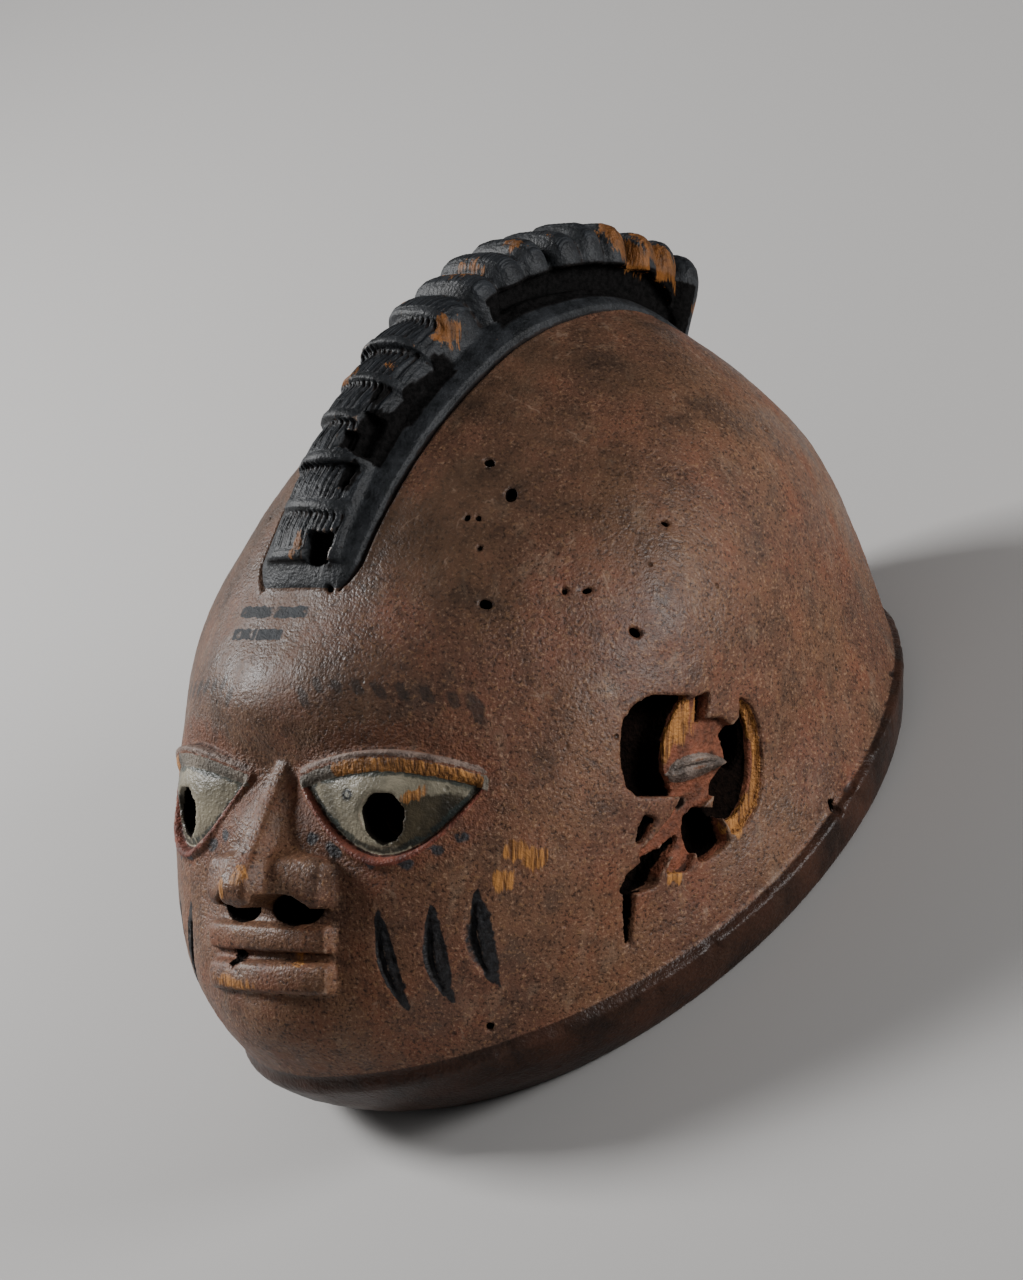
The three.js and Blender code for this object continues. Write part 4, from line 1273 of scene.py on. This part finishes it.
# Zones over the ground colour: the zone, two colours, and the noise that mixes them.
ZONES = (
    # The top of the head, darker in patches.
    ("top_darkening", 0.75, "#2b221c", "#4b3a2c", "clouds"),
    ("crumbs", 0.4, "#572f22", "#7f4b35", "grit"),
    ("scratches", 0.6, "#241a15", "#8a705e", "clouds"),
    ("bars", 0.98, "#101317", "#24292e", "mottle"),
    ("dashes", 0.75, "#211d1b", "#342b26", "mottle"),
    ("dots", 0.85, "#1b2226", "#2b373d", "mottle"),
    ("band", 0.92, "#1b110d", "#38231a", "clouds"),
    ("crest", 1, "#131517", "#2d2f32", "mottle"),
    ("strand", 0.7, "#0d0e11", "#2c2f33", "strands"),
    ("eye", 1, "#5c574a", "#948c78", "clouds"),
    # Painted shade on the lower outer part of each eyeball.
    ("painted_eye_shade", 0.9, "#15110b", "#382f1e", "clouds"),
    # A painted shadow under the upper lid's band, and a dark painted line along the lower lid.
    ("eye_line_and_lid_shadow", 0.8, "#14171a", "#2f3835", "mottle"),
    ("nail", 0.95, "#0e1012", "#22272a", "specks"),
    ("nail_middle", 0.9, "#6d6b60", "#8f8c80", "specks"),
    ("boss", 0.75, "#4b291b", "#8c5039", "mottle"),
    ("leaf", 0.85, "#403b36", "#7a726a", "mottle"),
    ("lower_lid", 0.85, "#4c261e", "#7c4335", "mottle"),
    ("upper_lid", 0.8, "#5c4f49", "#8a7a70", "mottle"),
    # Painted shade, near black, in concave places, the crest's undercut and its slots.
    ("hollow", 0.8, "#110c0a", "#261b16", "mottle"),
    ("lid_band", 1, "#4c4842", "#7d7367", "clouds"),
    ("cut", 0.97, "#08090b", "#222427", "grit"),
    ("edge", 0.42, "#6f5a4b", "#9a8371", "mottle"),
    # Near-black painted shade in the ear's hollows, the pupils, the nostrils and the worm holes.
    ("ear", 0.98, "#020202", "#0f0907", "grit"),
    # Painted shadow under the crest's undercut and in its slots.
    ("black", 0.97, "#060606", "#141313", "grit"),
    ("raw", 0.94, "#4f2f17", "#b57d43", "grain"),
    ("crest_raw", 0.9, "#34200f", "#7d4f28", "streaks"),
    ("inside", 1, "#3d2c22", "#6f5440", "grain"),
    # Painted shade in the worm pits.
    ("pits", 0.8, "#0d0907", "#1c1310", "mottle"),
)
between = {source: add("MapRange", {
    "Value": noises[source], "From Min": 0.35, "From Max": 0.65,
}) for source in dict.fromkeys(source for *_, source in ZONES)}
for part, strength, dark, light, source in ZONES:
    mixed = add("Mix", {0: between[source], 6: linear(dark), 7: linear(light)}, 2, data_type="RGBA")
    share = add("Math", {0: shown[part], 1: strength}, operation="MULTIPLY")
    colour = add("Mix", {0: share, 6: colour, 7: mixed}, 2, data_type="RGBA")

# Rubbed places shine and raw or dusty ones don't.
gloss = add("MapRange", {
    "Value": noises["clouds"], "From Min": 0.3, "From Max": 0.7, "To Min": 0.36, "To Max": 0.6,
})
for part, rough in (
    ("bars", 0.7), ("crumbs", 0.62), ("crest", 0.56), ("eye", 0.42), ("boss", 0.65), ("leaf", 0.38),
    ("band", 0.4), ("edge", 0.36), ("raw", 0.6), ("hollow", 0.85), ("ear", 0.9), ("inside", 0.75),
):
    gloss = add("Mix", {0: shown[part], 2: gloss, 3: rough}, 0, data_type="FLOAT")
dull = add("Math", {0: shown["ear"], 1: shown["black"]}, operation="MAXIMUM")
shine = add("MapRange", {"Value": dull, "To Min": 0.25, "To Max": 0.05})

# Relief too fine for the mesh: crusty paint, grain in raw wood, strands and pits. Depths in mm.
height = add("Math", {0: shown["pits"], 1: -0.9}, operation="MULTIPLY")
for source, depth, part in (
    ("grit", 0.28, None), ("specks", 0.3, None), ("specks", 0.4, "crumbs"), ("grain", 1, "raw"),
    ("specks", 0.6, "boss"), ("grain", 0.6, "inside"), ("strands", 1.2, "strand"), ("grit", 1.4, "ear"),
):
    share = depth if part is None else add("Math", {0: zone[part], 1: depth}, operation="MULTIPLY")
    height = add("Math", {0: noises[source], 1: share, 2: height}, operation="MULTIPLY_ADD")
bump = add("Bump", {"Height": height, "Distance": 0.001, "Strength": 1})
for name, value in (
    ("Base Color", colour), ("Roughness", gloss), ("Specular IOR Level", shine), ("Normal", bump),
):
    wood.node_tree.links.new(value, shader.inputs[name])
mask.data.materials.clear()
mask.data.materials.append(wood)

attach(mask, "root")
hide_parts("gelede_mask")

# A pale floor that runs out of view, its side in metres.
FLOOR_SIZE = 40
bpy.ops.mesh.primitive_plane_add(size=FLOOR_SIZE, location=(0, 0, 0))
floor = bpy.context.object
floor.name = "floor"
paper = bpy.data.materials.new("pale_paper")
paper.use_nodes = True
pale = paper.node_tree.nodes["Principled BSDF"].inputs
pale["Base Color"].default_value = linear("#b4b2b0")
pale["Roughness"].default_value = 0.9
floor.data.materials.append(paper)

# The camera looks down at the mask's left cheek, rolled so that the face stands upright.
CAMERA_AROUND = 52.94
CAMERA_UP = 27.49
CAMERA_ROLL = 31.40
CAMERA_AWAY = 1.7
CAMERA_AIM = Vector((0.01324, 0.00083, 0.09124))
CAMERA_LENS = 145.1
CAMERA_SENSOR = 36


def put(thing, around, up, away, roll=0):
    """Puts a camera or light where it looks at the mask from this azimuth, height and distance."""
    turn = (Matrix.Rotation(math.radians(around), 4, "Z")
            @ Matrix.Rotation(math.radians(90 - up), 4, "X")
            @ Matrix.Rotation(math.radians(-roll), 4, "Z"))
    thing.matrix_world = Matrix.Translation(CAMERA_AIM + turn.to_3x3() @ Vector((0, 0, away))) @ turn


view = bpy.data.cameras.new("camera")
view.sensor_fit = "VERTICAL"
view.sensor_height = CAMERA_SENSOR
view.lens = CAMERA_LENS
camera = bpy.data.objects.new("camera", view)
bpy.context.collection.objects.link(camera)
put(camera, CAMERA_AROUND, CAMERA_UP, CAMERA_AWAY, CAMERA_ROLL)
bpy.context.scene.camera = camera

# Soft studio light: azimuth and height of each light, its distance, size and power.
for name, around, up, away, size, power in (
    ("key", -80, 36, 1.5, 0.4, 34),
    ("rim", 110, 13, 1.6, 0.6, 25),
    ("fill", 30, 50, 2, 1.4, 4),
):
    lamp = bpy.data.lights.new(name, "AREA")
    lamp.size = size
    lamp.energy = power
    light = bpy.data.objects.new(name, lamp)
    bpy.context.collection.objects.link(light)
    put(light, around, up, away)

world = bpy.data.worlds.new("room")
bpy.context.scene.world = world
world.use_nodes = True
room_light = world.node_tree.nodes["Background"].inputs
room_light["Color"].default_value = linear("#c8c8cc")
room_light["Strength"].default_value = 0.12
